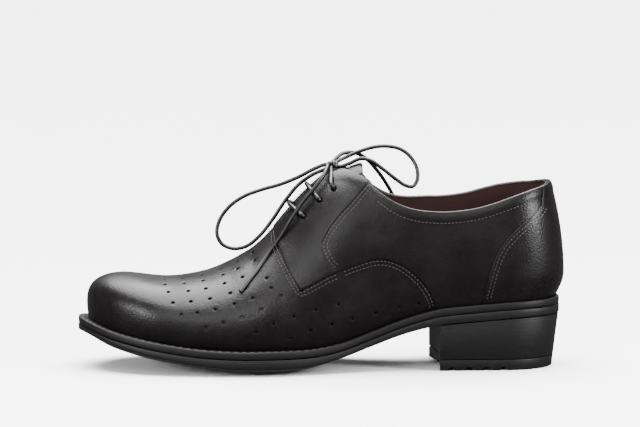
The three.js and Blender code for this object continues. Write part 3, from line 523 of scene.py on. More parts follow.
@dataclass
class Patch:
    """A piece of leather lying on the last: loops of places that bound it, filled with even triangles."""

    last: Last
    loops: list[list[Array]]
    holes: list[tuple[float, float, float]] = field(default_factory=list)
    step: float = 1.5
    rows: Array = field(init=False)
    triangles: NDArray[np.int64] = field(init=False)

    def __post_init__(self) -> None:
        """Fill the loops with triangles."""
        outlines = [self.even(runs) for runs in self.loops]
        outlines += [self.ring(*hole) for hole in self.holes]
        flats = [self.last.flat(*rows.T) for rows in outlines]
        edges, count = [], 0
        for rows in outlines:
            edges += [(count + i, count + (i + 1) % len(rows)) for i in range(len(rows))]
            count += len(rows)
        border = np.vstack(outlines)
        inner = self.lattice(np.vstack(flats), flats, self.last.form(*border.T))
        rows = np.vstack([border, inner])
        plane = self.last.flat(*rows.T)
        found, _, faces, origins, *_ = delaunay_2d_cdt([Vector(p) for p in plane], edges, [], 0, 1e-5)
        nearest = [origin[0] if origin else int(np.argmin(np.linalg.norm(plane - np.array(found[i]), axis=1)))
                   for i, origin in enumerate(origins)]
        triangles = np.array([[nearest[i] for i in face] for face in faces])
        centres = plane[triangles].mean(1)
        keep = inside(centres, flats[0])
        for flat in flats[1:]:
            keep &= ~inside(centres, flat)
        keep &= (triangles[:, 0] != triangles[:, 1]) & (triangles[:, 1] != triangles[:, 2])
        keep &= triangles[:, 0] != triangles[:, 2]
        triangles = triangles[keep]
        form = self.last.form(*rows.T)
        facing = np.cross(form[triangles[:, 1]] - form[triangles[:, 0]], form[triangles[:, 2]] - form[triangles[:, 0]])
        outward = self.last.normal(*rows.T)[triangles].mean(1)
        wrong = (facing * outward).sum(1) < 0
        triangles[wrong] = triangles[wrong][:, ::-1]
        self.rows, self.triangles = rows, triangles

    def even(self, runs: list[Array]) -> Array:
        """Place points at even steps along a loop made of runs."""
        parts = []
        for run in runs:
            form = self.last.form(*run.T)
            length = np.linalg.norm(np.diff(form, axis=0), axis=1)
            total = np.concatenate([[0], np.cumsum(length)])
            at = np.linspace(0, total[-1], max(2, round(total[-1] / self.step * 1.5) + 1))
            parts.append(np.column_stack([np.full(len(at), run[0, 0]), np.interp(at, total, run[:, 1]),
                                          np.interp(at, total, run[:, 2])]))
        rows = np.vstack(parts)
        form = self.last.form(*rows.T)
        apart = np.linalg.norm(form - np.roll(form, 1, axis=0), axis=1)
        return rows[apart > 0.2]

    def level_at(self, side: Array, a: Array, girth: Array) -> Array:
        """Give the level at a distance down the section from the ridge."""
        levels = np.broadcast_to(np.linspace(2, 0, 90), (len(a), 90))
        points = self.last.form(np.broadcast_to(side[:, None], levels.shape), np.broadcast_to(a[:, None], levels.shape),
                                levels)
        run = np.concatenate([np.zeros((len(a), 1)), np.cumsum(np.linalg.norm(np.diff(points, axis=1), axis=2), 1)], 1)
        return np.array([np.interp(g, r, l) for g, r, l in zip(girth, run, levels)])

    def place(self, s: Array, girth: Array) -> Array:
        """Give the places at stations and signed distances from the ridge."""
        side = np.where(girth > 0, 1.0, -1.0)
        a = np.arccos(1 - 2 * s) / np.pi
        return np.column_stack([side, a, self.level_at(side, a, np.abs(girth))])

    def ring(self, s: float, girth: float, radius: float, count: int = 12) -> Array:
        """Give the places round a hole."""
        ds, dg = 0.004, 1.0
        base = self.last.form(*self.place(np.array([s - ds, s + ds, s, s]), np.array([girth, girth, girth - dg,
                                                                                      girth + dg])).T)
        along, down = (base[1] - base[0]) / (2 * ds), (base[3] - base[2]) / (2 * dg)
        across = down / np.linalg.norm(down)
        forward = along - across * (along @ across)
        angle = np.linspace(0, 2 * math.pi, count, endpoint=False) + 0.26
        moves = np.outer(np.cos(angle), forward / np.linalg.norm(forward)) + np.outer(np.sin(angle), across)
        solve = np.linalg.lstsq(np.column_stack([along, down]), moves.T * radius, rcond=None)[0]
        return self.place(s + solve[0], girth + solve[1])

    def lattice(self, flat_border: Array, flats: list[Array], border: Array) -> Array:
        """Give evenly spaced places inside the loops."""
        line = np.linspace(0, 1, 2000)
        rows = []
        for side in (-1.0, 1.0):
            form = self.last.form(np.full(2000, side), line, np.ones(2000))
            run = np.concatenate([[0], np.cumsum(np.linalg.norm(np.diff(form, axis=0), axis=1))])
            columns = np.interp(np.arange(0, run[-1], self.step), run, line)
            columns = np.append(columns, 1.0)
            for k, a in enumerate(columns):
                if side > 0 and (a == 0.0 or a == 1.0):
                    continue
                total = float(self.last.girth(np.array([side]), np.array([a]), np.array([0.0]))[0])
                first = 0.0 if side < 0 and k % 2 else self.step / 2 * (1 + k % 2)
                girth = np.arange(first, total, self.step)
                levels = np.linspace(2, 0, 90)
                points = self.last.form(np.full(90, side), np.full(90, a), levels)
                down = np.concatenate([[0], np.cumsum(np.linalg.norm(np.diff(points, axis=0), axis=1))])
                rows.append(np.column_stack([np.full(len(girth), side), np.full(len(girth), a),
                                             np.interp(girth, down, levels)]))
        rows = np.vstack(rows)
        plane = self.last.flat(*rows.T)
        keep = inside(plane, flats[0])
        for flat in flats[1:]:
            keep &= ~inside(plane, flat)
        rows, form = rows[keep], self.last.form(*rows[keep].T)
        far = np.concatenate([np.sqrt(((part[:, None] - border[None]) ** 2).sum(-1).min(1))
                              for part in np.array_split(form, max(1, len(form) // 1500))])
        return rows[far > 0.55 * self.step]

    def solid(self, out: float, thickness: float, edge: float, relief: Callable[[Array], Array] | None = None
              ) -> tuple[Array, list[tuple[int, ...]]]:
        """Make the piece's body, with rounded cut edges.

        Args:
            out: Distance of its grain side from the last.
            thickness: How thick it is.
            edge: The radius of its cut edge.
            relief: Extra height of the grain side at given places.

        Returns:
            Points in millimetres and faces.
        """
        count = len(self.rows)
        height = out + (relief(self.rows) if relief else np.zeros(count))
        normal = self.last.normal(*self.rows.T)
        form = self.last.form(*self.rows.T)
        top = form + normal * height[:, None]
        bottom = form + normal * (out - thickness)
        directed = np.vstack([self.triangles[:, [0, 1]], self.triangles[:, [1, 2]], self.triangles[:, [2, 0]]])
        keys = {(int(i), int(j)) for i, j in directed}
        border = [(i, j) for i, j in keys if (j, i) not in keys]
        along = np.zeros_like(top)
        for i, j in border:
            way = top[j] - top[i]
            way /= max(np.linalg.norm(way), 1e-9)
            along[i] += way
            along[j] += way
        on_edge = sorted({i for pair in border for i in pair})
        index = {i: k for k, i in enumerate(on_edge)}
        tangent = along[on_edge]
        outward = np.cross(tangent, normal[on_edge])
        outward /= np.maximum(np.linalg.norm(outward, axis=1, keepdims=True), 1e-9)
        rings = []
        for angle in (30, 60, 90):
            turn = math.radians(angle)
            rings.append(top[on_edge] + outward * edge * math.sin(turn)
                         - normal[on_edge] * edge * (1 - math.cos(turn)))
        rings.append(bottom[on_edge] + outward * edge)
        points = np.vstack([top, bottom, *rings])
        faces = [tuple(map(int, t)) for t in self.triangles]
        faces += [tuple(int(i) + count for i in t[::-1]) for t in self.triangles]
        size = len(on_edge)

        def at(level: int, i: int) -> int:
            if level == 0:
                return i
            return count + i if level == 5 else 2 * count + (level - 1) * size + index[i]

        for i, j in border:
            for level in range(5):
                faces.append((at(level, j), at(level, i), at(level + 1, i), at(level + 1, j)))
        return points, faces


class Builder:
    """Makes objects in the row frame and joins them to the part."""

    def __init__(self, last: Last) -> None:
        """Find where the last stands in the row frame."""
        low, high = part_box("outsole")
        self.offset = Vector((low.x * 1000 + last.length + 5.4, 0.340, 0))
        self.faces = 0

    def local(self, points: Array) -> Array:
        """Turn millimetres on the last into metres in the row frame."""
        return (np.asarray(points, float) + np.array(self.offset)) * MM

    def mesh(self, name: str, points: Array, faces: Sequence[tuple[int, ...]], material: bpy.types.Material,
             slot: str, nodes: Sequence[str], sharp: float = 40.0, weld: float = 0.0) -> bpy.types.Object:
        """Make an object that rides on the part.

        Args:
            name: The piece's name.
            points: Its points, in millimetres on the last.
            faces: Its faces.
            material: Its finish.
            slot: Not used.
            nodes: The CAD nodes that it stands for.
            sharp: Edges that turn by more than this many degrees stay sharp.
            weld: Points closer than this many millimetres are joined.

        Returns:
            The object.
        """
        data = bpy.data.meshes.new(name)
        data.from_pydata([tuple(p) for p in self.local(points)], [], [tuple(f) for f in faces])
        data.validate()
        piece = bpy.data.objects.new(name, data)
        bpy.context.scene.collection.objects.link(piece)
        data.materials.append(material)
        bpy.ops.object.select_all(action="DESELECT")
        piece.select_set(True)
        bpy.context.view_layer.objects.active = piece
        if weld:
            bpy.ops.object.mode_set(mode="EDIT")
            bpy.ops.mesh.select_all(action="SELECT")
            bpy.ops.mesh.remove_doubles(threshold=weld * MM)
            bpy.ops.mesh.dissolve_degenerate(threshold=weld * MM / 2)
            bpy.ops.mesh.select_all(action="SELECT")
            bpy.ops.mesh.normals_make_consistent(inside=False)
            bpy.ops.object.mode_set(mode="OBJECT")
        bpy.ops.object.shade_smooth_by_angle(angle=math.radians(sharp))
        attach(piece, "root")
        if nodes:
            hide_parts(*nodes)
        self.faces += len(piece.data.polygons)
        LOG.info("%s: %d faces", name, len(piece.data.polygons))
        return piece


def tube(line: Array, radius: Array | float, sides: int = 14, weave: float = 0.0, lay: float = 2.4
         ) -> tuple[Array, list[tuple[int, ...]]]:
    """Run a round cord along a line.

    Args:
        line: Points of its centreline.
        radius: Its radius, or one for each point.
        sides: How many sides it has.
        weave: Height of the braid's bumps as a share of the radius.
        lay: Length of one turn of the braid.

    Returns:
        Points and faces.
    """
    along = np.gradient(line, axis=0)
    along /= np.linalg.norm(along, axis=1, keepdims=True)
    up = np.cross(along[0], (0.0, 0.0, 1.0))
    if np.linalg.norm(up) < 0.1:
        up = np.cross(along[0], (0.0, 1.0, 0.0))
    up /= np.linalg.norm(up)
    run = np.concatenate([[0], np.cumsum(np.linalg.norm(np.diff(line, axis=0), axis=1))])
    radius = np.broadcast_to(np.asarray(radius, float), (len(line),))
    angle = np.linspace(0, 2 * math.pi, sides, endpoint=False)
    points = []
    for centre, way, at, size in zip(line, along, run, radius):
        up = up - way * (up @ way)
        up /= np.linalg.norm(up)
        side = np.cross(way, up)
        turn = 2 * math.pi * at / lay
        bump = 1 + weave * (np.abs(np.sin(4 * angle + turn)) * np.abs(np.cos(4 * angle - turn)) * 2 - 0.9)
        points.append(centre + size * bump[:, None] * (np.cos(angle)[:, None] * up + np.sin(angle)[:, None] * side))
    count = len(line)
    faces: list[tuple[int, ...]] = []
    for i in range(count - 1):
        for k in range(sides):
            n = (k + 1) % sides
            faces.append((i * sides + k, i * sides + n, (i + 1) * sides + n, (i + 1) * sides + k))
    faces.append(tuple(range(sides))[::-1])
    faces.append(tuple((count - 1) * sides + k for k in range(sides)))
    return np.vstack(points), faces


@dataclass(frozen=True)
class Thread:
    """Stitches of one thread, in millimetres."""

    pitch: float = 2.0
    length: float = 1.4
    radius: float = 0.2

    def sew(self, line: Array, normals: Array) -> tuple[Array, list[tuple[int, ...]]]:
        """Lay stitches end to end along a line.

        Args:
            line: Points along the seam.
            normals: The way that the leather faces there.

        Returns:
            Points and faces.
        """
        run = np.concatenate([[0], np.cumsum(np.linalg.norm(np.diff(line, axis=0), axis=1))])
        count = max(1, int(run[-1] / self.pitch))
        at = (np.arange(count) + 0.5) * run[-1] / count
        centre = np.column_stack([np.interp(at, run, line[:, k]) for k in range(3)])
        ahead = np.column_stack([np.interp(at + 0.4, run, line[:, k]) for k in range(3)])
        behind = np.column_stack([np.interp(at - 0.4, run, line[:, k]) for k in range(3)])
        face = np.column_stack([np.interp(at, run, normals[:, k]) for k in range(3)])
        way = ahead - behind
        way /= np.linalg.norm(way, axis=1, keepdims=True)
        face -= way * (face * way).sum(1, keepdims=True)
        face /= np.linalg.norm(face, axis=1, keepdims=True)
        side = np.cross(face, way)
        rings = ((-0.5, 0.25, -1.3), (-0.38, 0.85, -0.5), (0.0, 1.0, 0.0), (0.38, 0.85, -0.5), (0.5, 0.25, -1.3))
        points, faces, sides = [], [], 6
        for c, w, f, b in zip(centre, way, face, side):
            base = len(points) * sides
            for step, size, sink in rings:
                for k in range(sides):
                    turn = 2 * math.pi * k / sides
                    points.append(c + w * step * self.length + (f * (math.sin(turn) * size + sink)
                                                                + b * math.cos(turn) * size) * self.radius)
            start = len(points) - len(rings) * sides
            for ring in range(len(rings) - 1):
                for k in range(sides):
                    n = (k + 1) % sides
                    low, high = start + ring * sides, start + (ring + 1) * sides
                    faces.append((low + n, low + k, high + k, high + n))
            faces.append(tuple(start + k for k in range(sides)))
            faces.append(tuple(start + (len(rings) - 1) * sides + k for k in range(sides))[::-1])
        return np.array(points), faces


def joined(parts: Sequence[tuple[Array, list[tuple[int, ...]]]]) -> tuple[Array, list[tuple[int, ...]]]:
    """Join bodies into one mesh."""
    points, faces, count = [], [], 0
    for some, sides in parts:
        points.append(some)
        faces += [tuple(i + count for i in face) for face in sides]
        count += len(some)
    return np.vstack(points), faces


@dataclass(frozen=True)
class Socket:
    """A shader value that sums can be written with."""

    graph: "Graph"
    socket: bpy.types.NodeSocket

    def _math(self, operation: str, *values: "Socket | float") -> "Socket":
        """Add a Math node for one operation."""
        return self.graph.node("ShaderNodeMath", {"operation": operation}, {i: v for i, v in enumerate(values)})

    def __add__(self, other: "Socket | float") -> "Socket":
        """Add."""
        return self._math("ADD", self, other)

    __radd__ = __add__

    def __mul__(self, other: "Socket | float") -> "Socket":
        """Multiply."""
        return self._math("MULTIPLY", self, other)

    __rmul__ = __mul__

    def __sub__(self, other: "Socket | float") -> "Socket":
        """Take away."""
        return self._math("SUBTRACT", self, other)

    def __rsub__(self, other: float) -> "Socket":
        """Take this from a number."""
        return self._math("SUBTRACT", other, self)

    def __pow__(self, other: float) -> "Socket":
        """Raise to a power."""
        return self._math("POWER", self, other)

    def ramp(self, low: float, high: float, first: float = 0.0, last: float = 1.0) -> "Socket":
        """Map one range to another, smoothly and clamped."""
        return self.graph.node("ShaderNodeMapRange", {"interpolation_type": "SMOOTHSTEP"},
                               {"Value": self, "From Min": low, "From Max": high, "To Min": first, "To Max": last})


class Graph:
    """A material's nodes."""

    def __init__(self, name: str) -> None:
        """Start a material with one Principled shader."""
        self.material = bpy.data.materials.new(name)
        self.material.use_nodes = True
        self.tree = self.material.node_tree
        self.shader = self.tree.nodes["Principled BSDF"]
        place = self.tree.nodes.new("ShaderNodeTexCoord")
        self.place = Socket(self, place.outputs["Object"])

    def node(self, kind: str, settings: dict[str, object], inputs: dict[str | int, object],
             output: str | int = 0) -> Socket:
        """Add a node.

        Args:
            kind: The node's type.
            settings: Its properties.
            inputs: Values or sockets for its inputs.
            output: Which output to give.

        Returns:
            The output socket.
        """
        made = self.tree.nodes.new(kind)
        for key, value in settings.items():
            setattr(made, key, value)
        for key, value in inputs.items():
            self.feed(made, key, value)
        return Socket(self, made.outputs[output])

    def feed(self, node: bpy.types.Node, key: str | int, value: object) -> None:
        """Set an input, or link a socket to it."""
        if isinstance(value, Socket):
            self.tree.links.new(value.socket, node.inputs[key])
        else:
            node.inputs[key].default_value = value

    def noise(self, size: float, detail: float = 3.0, place: Socket | None = None) -> Socket:
        """Give soft noise with features of a size in millimetres."""
        return self.node("ShaderNodeTexNoise", {}, {"Vector": place or self.place, "Scale": 1000 / size,
                                                    "Detail": detail})

    def cells(self, size: float, feature: str = "F1") -> Socket:
        """Give cells of a size in millimetres."""
        return self.node("ShaderNodeTexVoronoi", {"feature": feature}, {"Vector": self.place, "Scale": 1000 / size},
                         "Distance")

    def bump(self, height: Socket, distance: float, strength: float = 1.0, under: Socket | None = None) -> Socket:
        """Turn a height into a normal; distance is the height of 1 in millimetres."""
        inputs: dict[str | int, object] = {"Height": height, "Distance": distance * MM, "Strength": strength}
        if under is not None:
            inputs["Normal"] = under
        return self.node("ShaderNodeBump", {}, inputs)

    def finish(self, **inputs: object) -> bpy.types.Material:
        """Set the shader's inputs, with underscores for spaces in their names."""
        for key, value in inputs.items():
            self.feed(self.shader, key.replace("_", " "), value)
        return self.material


@dataclass(frozen=True)
class Leather:
    """Smooth black leather with a fine grain and a semi-gloss polish."""

    name: str
    colour: tuple[float, float, float] = (0.0016, 0.0011, 0.0013)
    roughness: float = 0.34
    grain: float = 0.95
    depth: float = 0.09
    coat: float = 0.0
    gloss: float = 0.17

    def material(self) -> bpy.types.Material:
        """Make the finish."""
        graph = Graph(self.name)
        pebbles = graph.cells(self.grain, "SMOOTH_F1")
        wrinkle = graph.noise(3.4, 4.0)
        pores = graph.noise(0.42, 2.0)
        soft = graph.noise(17.0, 2.0)
        under = graph.bump(soft, 0.12, 0.5)
        grain = graph.bump(pebbles * -1.0 + wrinkle * 0.7 + pores * 0.35, self.depth, 1.0, under)
        rough = soft.ramp(0.3, 0.7, self.roughness - 0.05, self.roughness + 0.06) + pores * 0.06
        tone = wrinkle.ramp(0.35, 0.7)
        light = tuple(c * 1.35 for c in self.colour)
        colour = graph.node("ShaderNodeMix", {"data_type": "RGBA"},
                            {0: tone, 6: (*self.colour, 1.0), 7: (*light, 1.0)}, 2)
        return graph.finish(Base_Color=colour, Roughness=rough, Normal=grain, Coat_Weight=self.coat,
                            Coat_Roughness=0.28, Specular_IOR_Level=self.gloss)


@dataclass(frozen=True)
class Lining:
    """Unfinished dark brown lining leather."""

    name: str = "lining leather"
    colour: tuple[float, float, float] = (0.022, 0.007, 0.006)

    def material(self) -> bpy.types.Material:
        """Make the finish."""
        graph = Graph(self.name)
        fibres = graph.noise(0.6, 4.0)
        grain = graph.bump(fibres, 0.05)
        return graph.finish(Base_Color=(*self.colour, 1.0), Roughness=fibres.ramp(0.2, 0.8, 0.6, 0.8), Normal=grain,
                            Specular_IOR_Level=0.3)


@dataclass(frozen=True)
class Rubber:
    """Satin black rubber of the sole, with lines along its sides."""

    name: str = "sole rubber"
    colour: tuple[float, float, float] = (0.0022, 0.0018, 0.0018)
    roughness: float = 0.5
    lines: float = 0.0

    def material(self) -> bpy.types.Material:
        """Make the finish."""
        graph = Graph(self.name)
        speck = graph.noise(0.5, 3.0)
        height = speck * 0.6
        if self.lines:
            split = graph.tree.nodes.new("ShaderNodeSeparateXYZ")
            graph.feed(split, 0, graph.place)
            across = Socket(graph, split.outputs["Z"])
            streak = graph.node("ShaderNodeTexNoise", {"noise_dimensions": "1D"},
                                {"W": across, "Scale": 1000 / self.lines, "Detail": 3.0})
            height = height + streak * 1.6
        grain = graph.bump(height, 0.06)
        return graph.finish(Base_Color=(*self.colour, 1.0), Normal=grain, Specular_IOR_Level=0.22,
                            Roughness=speck.ramp(0.3, 0.7, self.roughness - 0.06, self.roughness + 0.08))


@dataclass(frozen=True)
class Waxed:
    """Waxed cord or thread."""

    name: str
    colour: tuple[float, float, float] = (0.0016, 0.0014, 0.0015)
    roughness: float = 0.36

    def material(self) -> bpy.types.Material:
        """Make the finish."""
        graph = Graph(self.name)
        fibres = graph.noise(0.25, 2.0)
        return graph.finish(Base_Color=(*self.colour, 1.0), Normal=graph.bump(fibres, 0.03), Specular_IOR_Level=0.35,
                            Roughness=fibres.ramp(0.3, 0.7, self.roughness - 0.06, self.roughness + 0.08))


@dataclass
class Upper:
    """The upper's leather pieces, sewn one over the other."""

    pattern: Pattern
    builder: Builder
    leather: bpy.types.Material
    lining: bpy.types.Material
    thread_finish: bpy.types.Material
    quarter_out: float = 0.85
    overlay_out: float = 1.45
    lining_out: float = -1.0
    wall: float = 1.6
    collar_band: float = 5.7
    thread: Thread = field(default_factory=Thread)

    def creases(self, rows: Array) -> Array:
        """Give the height of the soft troughs and ridges of the vamp and quarters, in millimetres."""
        last = self.pattern.last
        s = last.station(last.form(*rows.T)[:, 0])
        girth = last.girth(rows[:, 0], rows[:, 1], rows[:, 2]) * rows[:, 0]
        total = np.zeros(len(rows))
        for at, across, long, wide, height, lean in (
                (0.655, -14, 0.012, 16, -0.35, 0.0006), (0.668, 10, 0.011, 16, 0.22, -0.0004),
                (0.7, -22, 0.016, 14, -0.2, 0.0004), (0.64, 24, 0.014, 14, -0.28, -0.0004),
                (0.44, -48, 0.03, 9, 0.35, 0.001), (0.36, -62, 0.05, 7, 0.3, 0.001),
                (0.3, -66, 0.03, 10, -0.35, 0.001), (0.06, -30, 0.02, 12, 0.25, 0.0),
                (0.44, 48, 0.03, 9, 0.35, -0.001), (0.34, 60, 0.05, 8, 0.3, -0.001)):
            total += height * np.exp(-((s - at - lean * (girth - across)) / long) ** 2 - ((girth - across) / wide) ** 2)
        return total

    def collar(self, rows: Array) -> Array:
        """Give the height of the soft roll between the collar's stitching and the topline."""
        last, total = self.pattern.last, self.creases(rows)
        form = last.form(*rows.T)
        for side in Side:
            top = self.pattern.top_height(side, last.station(form[:, 0]))
            down = np.where(rows[:, 0] == side, top - form[:, 2], 99.0)
            roll = np.clip(down / self.collar_band, 0, 1)
            total += 0.4 * np.sin(np.pi * roll) ** 0.8 * (down > 0)
        return total

    def quarter_line(self, side: Side) -> Array:
        """Give the quarter's front and lower edge, from the throat to the feather edge."""
        last = self.pattern.last
        corner = self.pattern.lacing(side)[-1]
        high = last.form(*corner[:, None])[0, 2] / last.instep_height
        table = [row for row in QUARTER_EDGE if row[1] < high - 0.03]
        s, z = last.station(last.form(*corner[:, None])[0, 0]), high
        bend = [row[0] for row in table].index(0.552)
        front = self.pattern.edge(side, [(s, z), *table[: bend + 1]], 40)
        line = np.vstack([front, self.pattern.edge(side, table[bend:], 70)[1:]])
        line[0] = corner
        a = math.acos(1 - 2 * 0.254) / math.pi
        return np.vstack([line[line[:, 2] > 0.01], [[side, a, 0.0]]])

    def facing_line(self, side: Side) -> Array:
        """Give the facing's rear edge, from the topline down."""
        return self.pattern.edge(side, FACING_EDGE, 50)

    def counter_line(self, side: Side) -> Array:
        """Give the counter's front edge, from the topline down to the feather edge."""
        line = self.pattern.edge(side, COUNTER_EDGE[1:], 50)
        last = self.pattern.last
        top = self.pattern.topline(side)
        s = last.station(last.form(*top.T)[:, 0])
        start = top[int(np.argmin(np.abs(s - 0.034) + (s > 0.2)))]
        a = math.acos(1 - 2 * 0.163) / math.pi
        return np.vstack([start, line[line[:, 2] > 0.02], [[side, a, 0.0]]])

    def vamp(self) -> Patch:
        """Cut the vamp, with its pinholes."""
        pattern, last = self.pattern, self.pattern.last
        a = math.acos(1 - 2 * 0.24) / math.pi
        ridge = math.acos(1 - 2 * 0.585) / math.pi
        backs = {side: np.vstack([[[side, ridge, 2.0]], pattern.edge(side, VAMP_BACK, 60), [[side, a, 0.0]]])
                 for side in Side}
        runs = [pattern.feather(Side.LATERAL, a, 1), pattern.feather(Side.MEDIAL, 1, a),
                backs[Side.MEDIAL][::-1], backs[Side.LATERAL]]
        holes = []
        for girth, stations in PINHOLES:
            for s in stations:
                holes += [(s, -girth, 1.2)] + ([(s, girth, 1.2)] if girth else [])
        for s, girth in LOW_PINHOLES:
            holes += [(s, -girth, 1.2), (s, girth, 1.2)]
        return Patch(last, [runs], holes)

    def quarter(self, side: Side) -> Patch:
        """Cut a quarter."""
        pattern, last = self.pattern, self.pattern.last
        top, lower = pattern.topline(side), self.quarter_line(side)
        seam = np.column_stack([np.full(30, side), np.zeros(30), np.linspace(0, top[0, 2], 30)])
        runs = [top, pattern.lacing(side), lower, pattern.feather(side, lower[-1, 1], 0), seam]
        return Patch(last, [runs], self.eyelet_holes(side))

    def eyelet_holes(self, side: Side) -> list[tuple[float, float, float]]:
        """Give the eyelets as stations, distances from the ridge and radii."""
        last, holes = self.pattern.last, []
        for row in self.pattern.eyelets(side):
            s = (1 - math.cos(math.pi * row[1])) / 2
            girth = float(last.girth(*(np.array([v]) for v in row))[0])
            holes.append((s, float(side) * girth, 1.8))
        return holes

    def facing(self, side: Side) -> Patch:
        """Cut a facing."""
        pattern, last = self.pattern, self.pattern.last
        rear = self.facing_line(side)
        lower = self.quarter_line(side)
        front = lower[last.station(last.form(*lower.T)[:, 0]) > 0.476]
        top = pattern.topline(side)
        start = last.station(last.form(*rear[:1].T)[0, 0])
        top = top[last.station(last.form(*top.T)[:, 0]) > start]
        runs = [top, pattern.lacing(side), front, np.vstack([front[-1:], rear[::-1][1:-1], top[:1]])]
        return Patch(last, [runs], self.eyelet_holes(side))

    def counter(self) -> Patch:
        """Cut the counter, which wraps round the back."""
        pattern, last = self.pattern, self.pattern.last
        lines = {side: self.counter_line(side) for side in Side}
        tops = {}
        for side in Side:
            top = pattern.topline(side)
            tops[side] = top[(last.station(last.form(*top.T)[:, 0]) < 0.034) & (top[:, 1] < 0.3)]
        runs = [tops[Side.LATERAL][::-1], tops[Side.MEDIAL], lines[Side.MEDIAL],
                pattern.feather(Side.MEDIAL, lines[Side.MEDIAL][-1, 1], 0),
                pattern.feather(Side.LATERAL, 0, lines[Side.LATERAL][-1, 1]), lines[Side.LATERAL][::-1]]
        return Patch(last, [runs])

    def inside_patch(self) -> Patch:
        """Cut the lining, one piece round the whole foot."""
        pattern, last = self.pattern, self.pattern.last
        outer = [pattern.feather(Side.LATERAL, 0, 1), pattern.feather(Side.MEDIAL, 1, 0)]
        opening = []
        for side in (Side.LATERAL, Side.MEDIAL):
            edge = pattern.lacing(side)
            over = np.column_stack([np.full(12, side), np.full(12, edge[-1, 1]), np.linspace(edge[-1, 2], 2, 12)])
            runs = [pattern.topline(side), edge, over]
            opening += runs if side == Side.LATERAL else [run[::-1] for run in runs[::-1]]
        return Patch(last, [outer, opening], [hole for side in Side for hole in self.eyelet_holes(side)], step=1.9)

    def shifted(self, rows: Array, distance: float) -> Array:
        """Move a line over the surface, to its left seen from outside."""
        last, h = self.pattern.last, 0.003
        form, normal = last.form(*rows.T), last.normal(*rows.T)
        along = np.gradient(form, axis=0)
        along /= np.maximum(np.linalg.norm(along, axis=1, keepdims=True), 1e-9)
        move = np.cross(normal, along) * distance
        side, a, level = rows.T
        by_a = (last.form(side, np.minimum(a + h, 1), level) - last.form(side, np.maximum(a - h, 0), level))
        by_a /= (np.minimum(a + h, 1) - np.maximum(a - h, 0))[:, None]
        by_level = last.form(side, a, np.minimum(level + h, 2)) - last.form(side, a, np.maximum(level - h, 0))
        by_level /= (np.minimum(level + h, 2) - np.maximum(level - h, 0))[:, None]
        made = rows.copy()
        for i in range(len(rows)):
            step = np.linalg.lstsq(np.column_stack([by_a[i], by_level[i]]), move[i], rcond=None)[0]
            made[i, 1:] += step
        made[:, 2] = np.clip(made[:, 2], 0, 1.995)
        return made

    def seam(self, rows: Array, distances: Sequence[float], out: float, trim: tuple[float, float] = (0.0, 0.0)
             ) -> list[tuple[Array, list[tuple[int, ...]]]]:
        """Sew rows of stitches beside an edge."""
        last, made = self.pattern.last, []
        for distance in distances:
            line = self.shifted(rows, distance)
            keep = line[:, 2] > 0.06
            line = line[keep]
            points = last.point(*line.T, out + 0.08)
            run = np.concatenate([[0], np.cumsum(np.linalg.norm(np.diff(points, axis=0), axis=1))])
            inner = (run >= trim[0]) & (run <= run[-1] - trim[1])
            made.append(self.thread.sew(points[inner], last.normal(*line[inner].T)))
        return made

    def stitches(self) -> list[tuple[Array, list[tuple[int, ...]]]]:
        """Sew all seams of the upper."""
        pattern, last, made = self.pattern, self.pattern.last, []
        for side in Side:
            turn = -side
            lower = self.quarter_line(side)
            s = last.station(last.form(*lower.T)[:, 0])
            made += self.seam(lower[s > 0.478], (turn * -1.5, turn * -3.4), self.overlay_out)
            made += self.seam(lower[s < 0.47], (turn * -1.5, turn * -3.4), self.quarter_out)
            rear = self.facing_line(side)
            made += self.seam(rear, (turn * 1.3, turn * 3.2), self.overlay_out, (2.0, 2.0))
            made += self.seam(pattern.lacing(side), (turn * -1.8,), self.overlay_out, (2.0, 2.0))
            top = pattern.topline(side)
            at = last.station(last.form(*top.T)[:, 0])
            made += self.seam(top[at > 0.41], (turn * -1.8,), self.overlay_out, (1.5, 1.5))
            band = pattern.topline(side, self.collar_band)
            at = last.station(last.form(*band.T)[:, 0])
            made += self.seam(band[(at > 0.045) & (at < 0.39)], (0.0,), self.quarter_out + 0.1)
            made += self.seam(self.counter_line(side), (turn * 1.4, turn * 3.3), self.overlay_out, (1.0, 1.0))
        return made

    def bead(self) -> Array:
        """Give the centreline of the rolled edge round the collar."""
        pattern, last = self.pattern, self.pattern.last
        halves = []
        for side in (Side.LATERAL, Side.MEDIAL):
            top = pattern.topline(side, 0.5)
            halves.append(last.point(*top.T, (self.quarter_out - self.wall) / 2))
        line = np.vstack([halves[0][::-1], halves[1][1:]])
        length = np.linalg.norm(np.diff(line, axis=0), axis=1).sum()
        return even_line(line, int(length / 1.0))

    def build(self) -> None:
        """Make the upper's pieces."""
        make = self.builder.mesh
        dress = (self.leather, "upper_leather", ["upper"])
        points, faces = self.vamp().solid(0.0, 0.95, 0.2, self.creases)
        make("vamp", points, faces, *dress)
        for side in Side:
            name = side.name.lower()
            make(f"quarter_{name}", *self.quarter(side).solid(self.quarter_out, 1.25, 0.4, self.collar), *dress)
            make(f"facing_{name}", *self.facing(side).solid(self.overlay_out, 0.8, 0.35, self.collar), *dress)
        make("counter", *self.counter().solid(self.overlay_out, 0.8, 0.35, self.collar), *dress)
        make("collar_bead", *tube(self.bead(), 1.25, 14), *dress)
        make("upper_stitches", *joined(self.stitches()), self.thread_finish, "upper_leather", ["upper"])
        patch = self.inside_patch()
        shell = make("lining", *patch.solid(self.lining_out, self.wall + self.lining_out, 0.3), self.lining,
                     "lining_leather", ["upper"])
        shell.data.materials.append(self.leather)
        for face in shell.data.polygons[: len(patch.triangles)]:
            face.material_index = 1


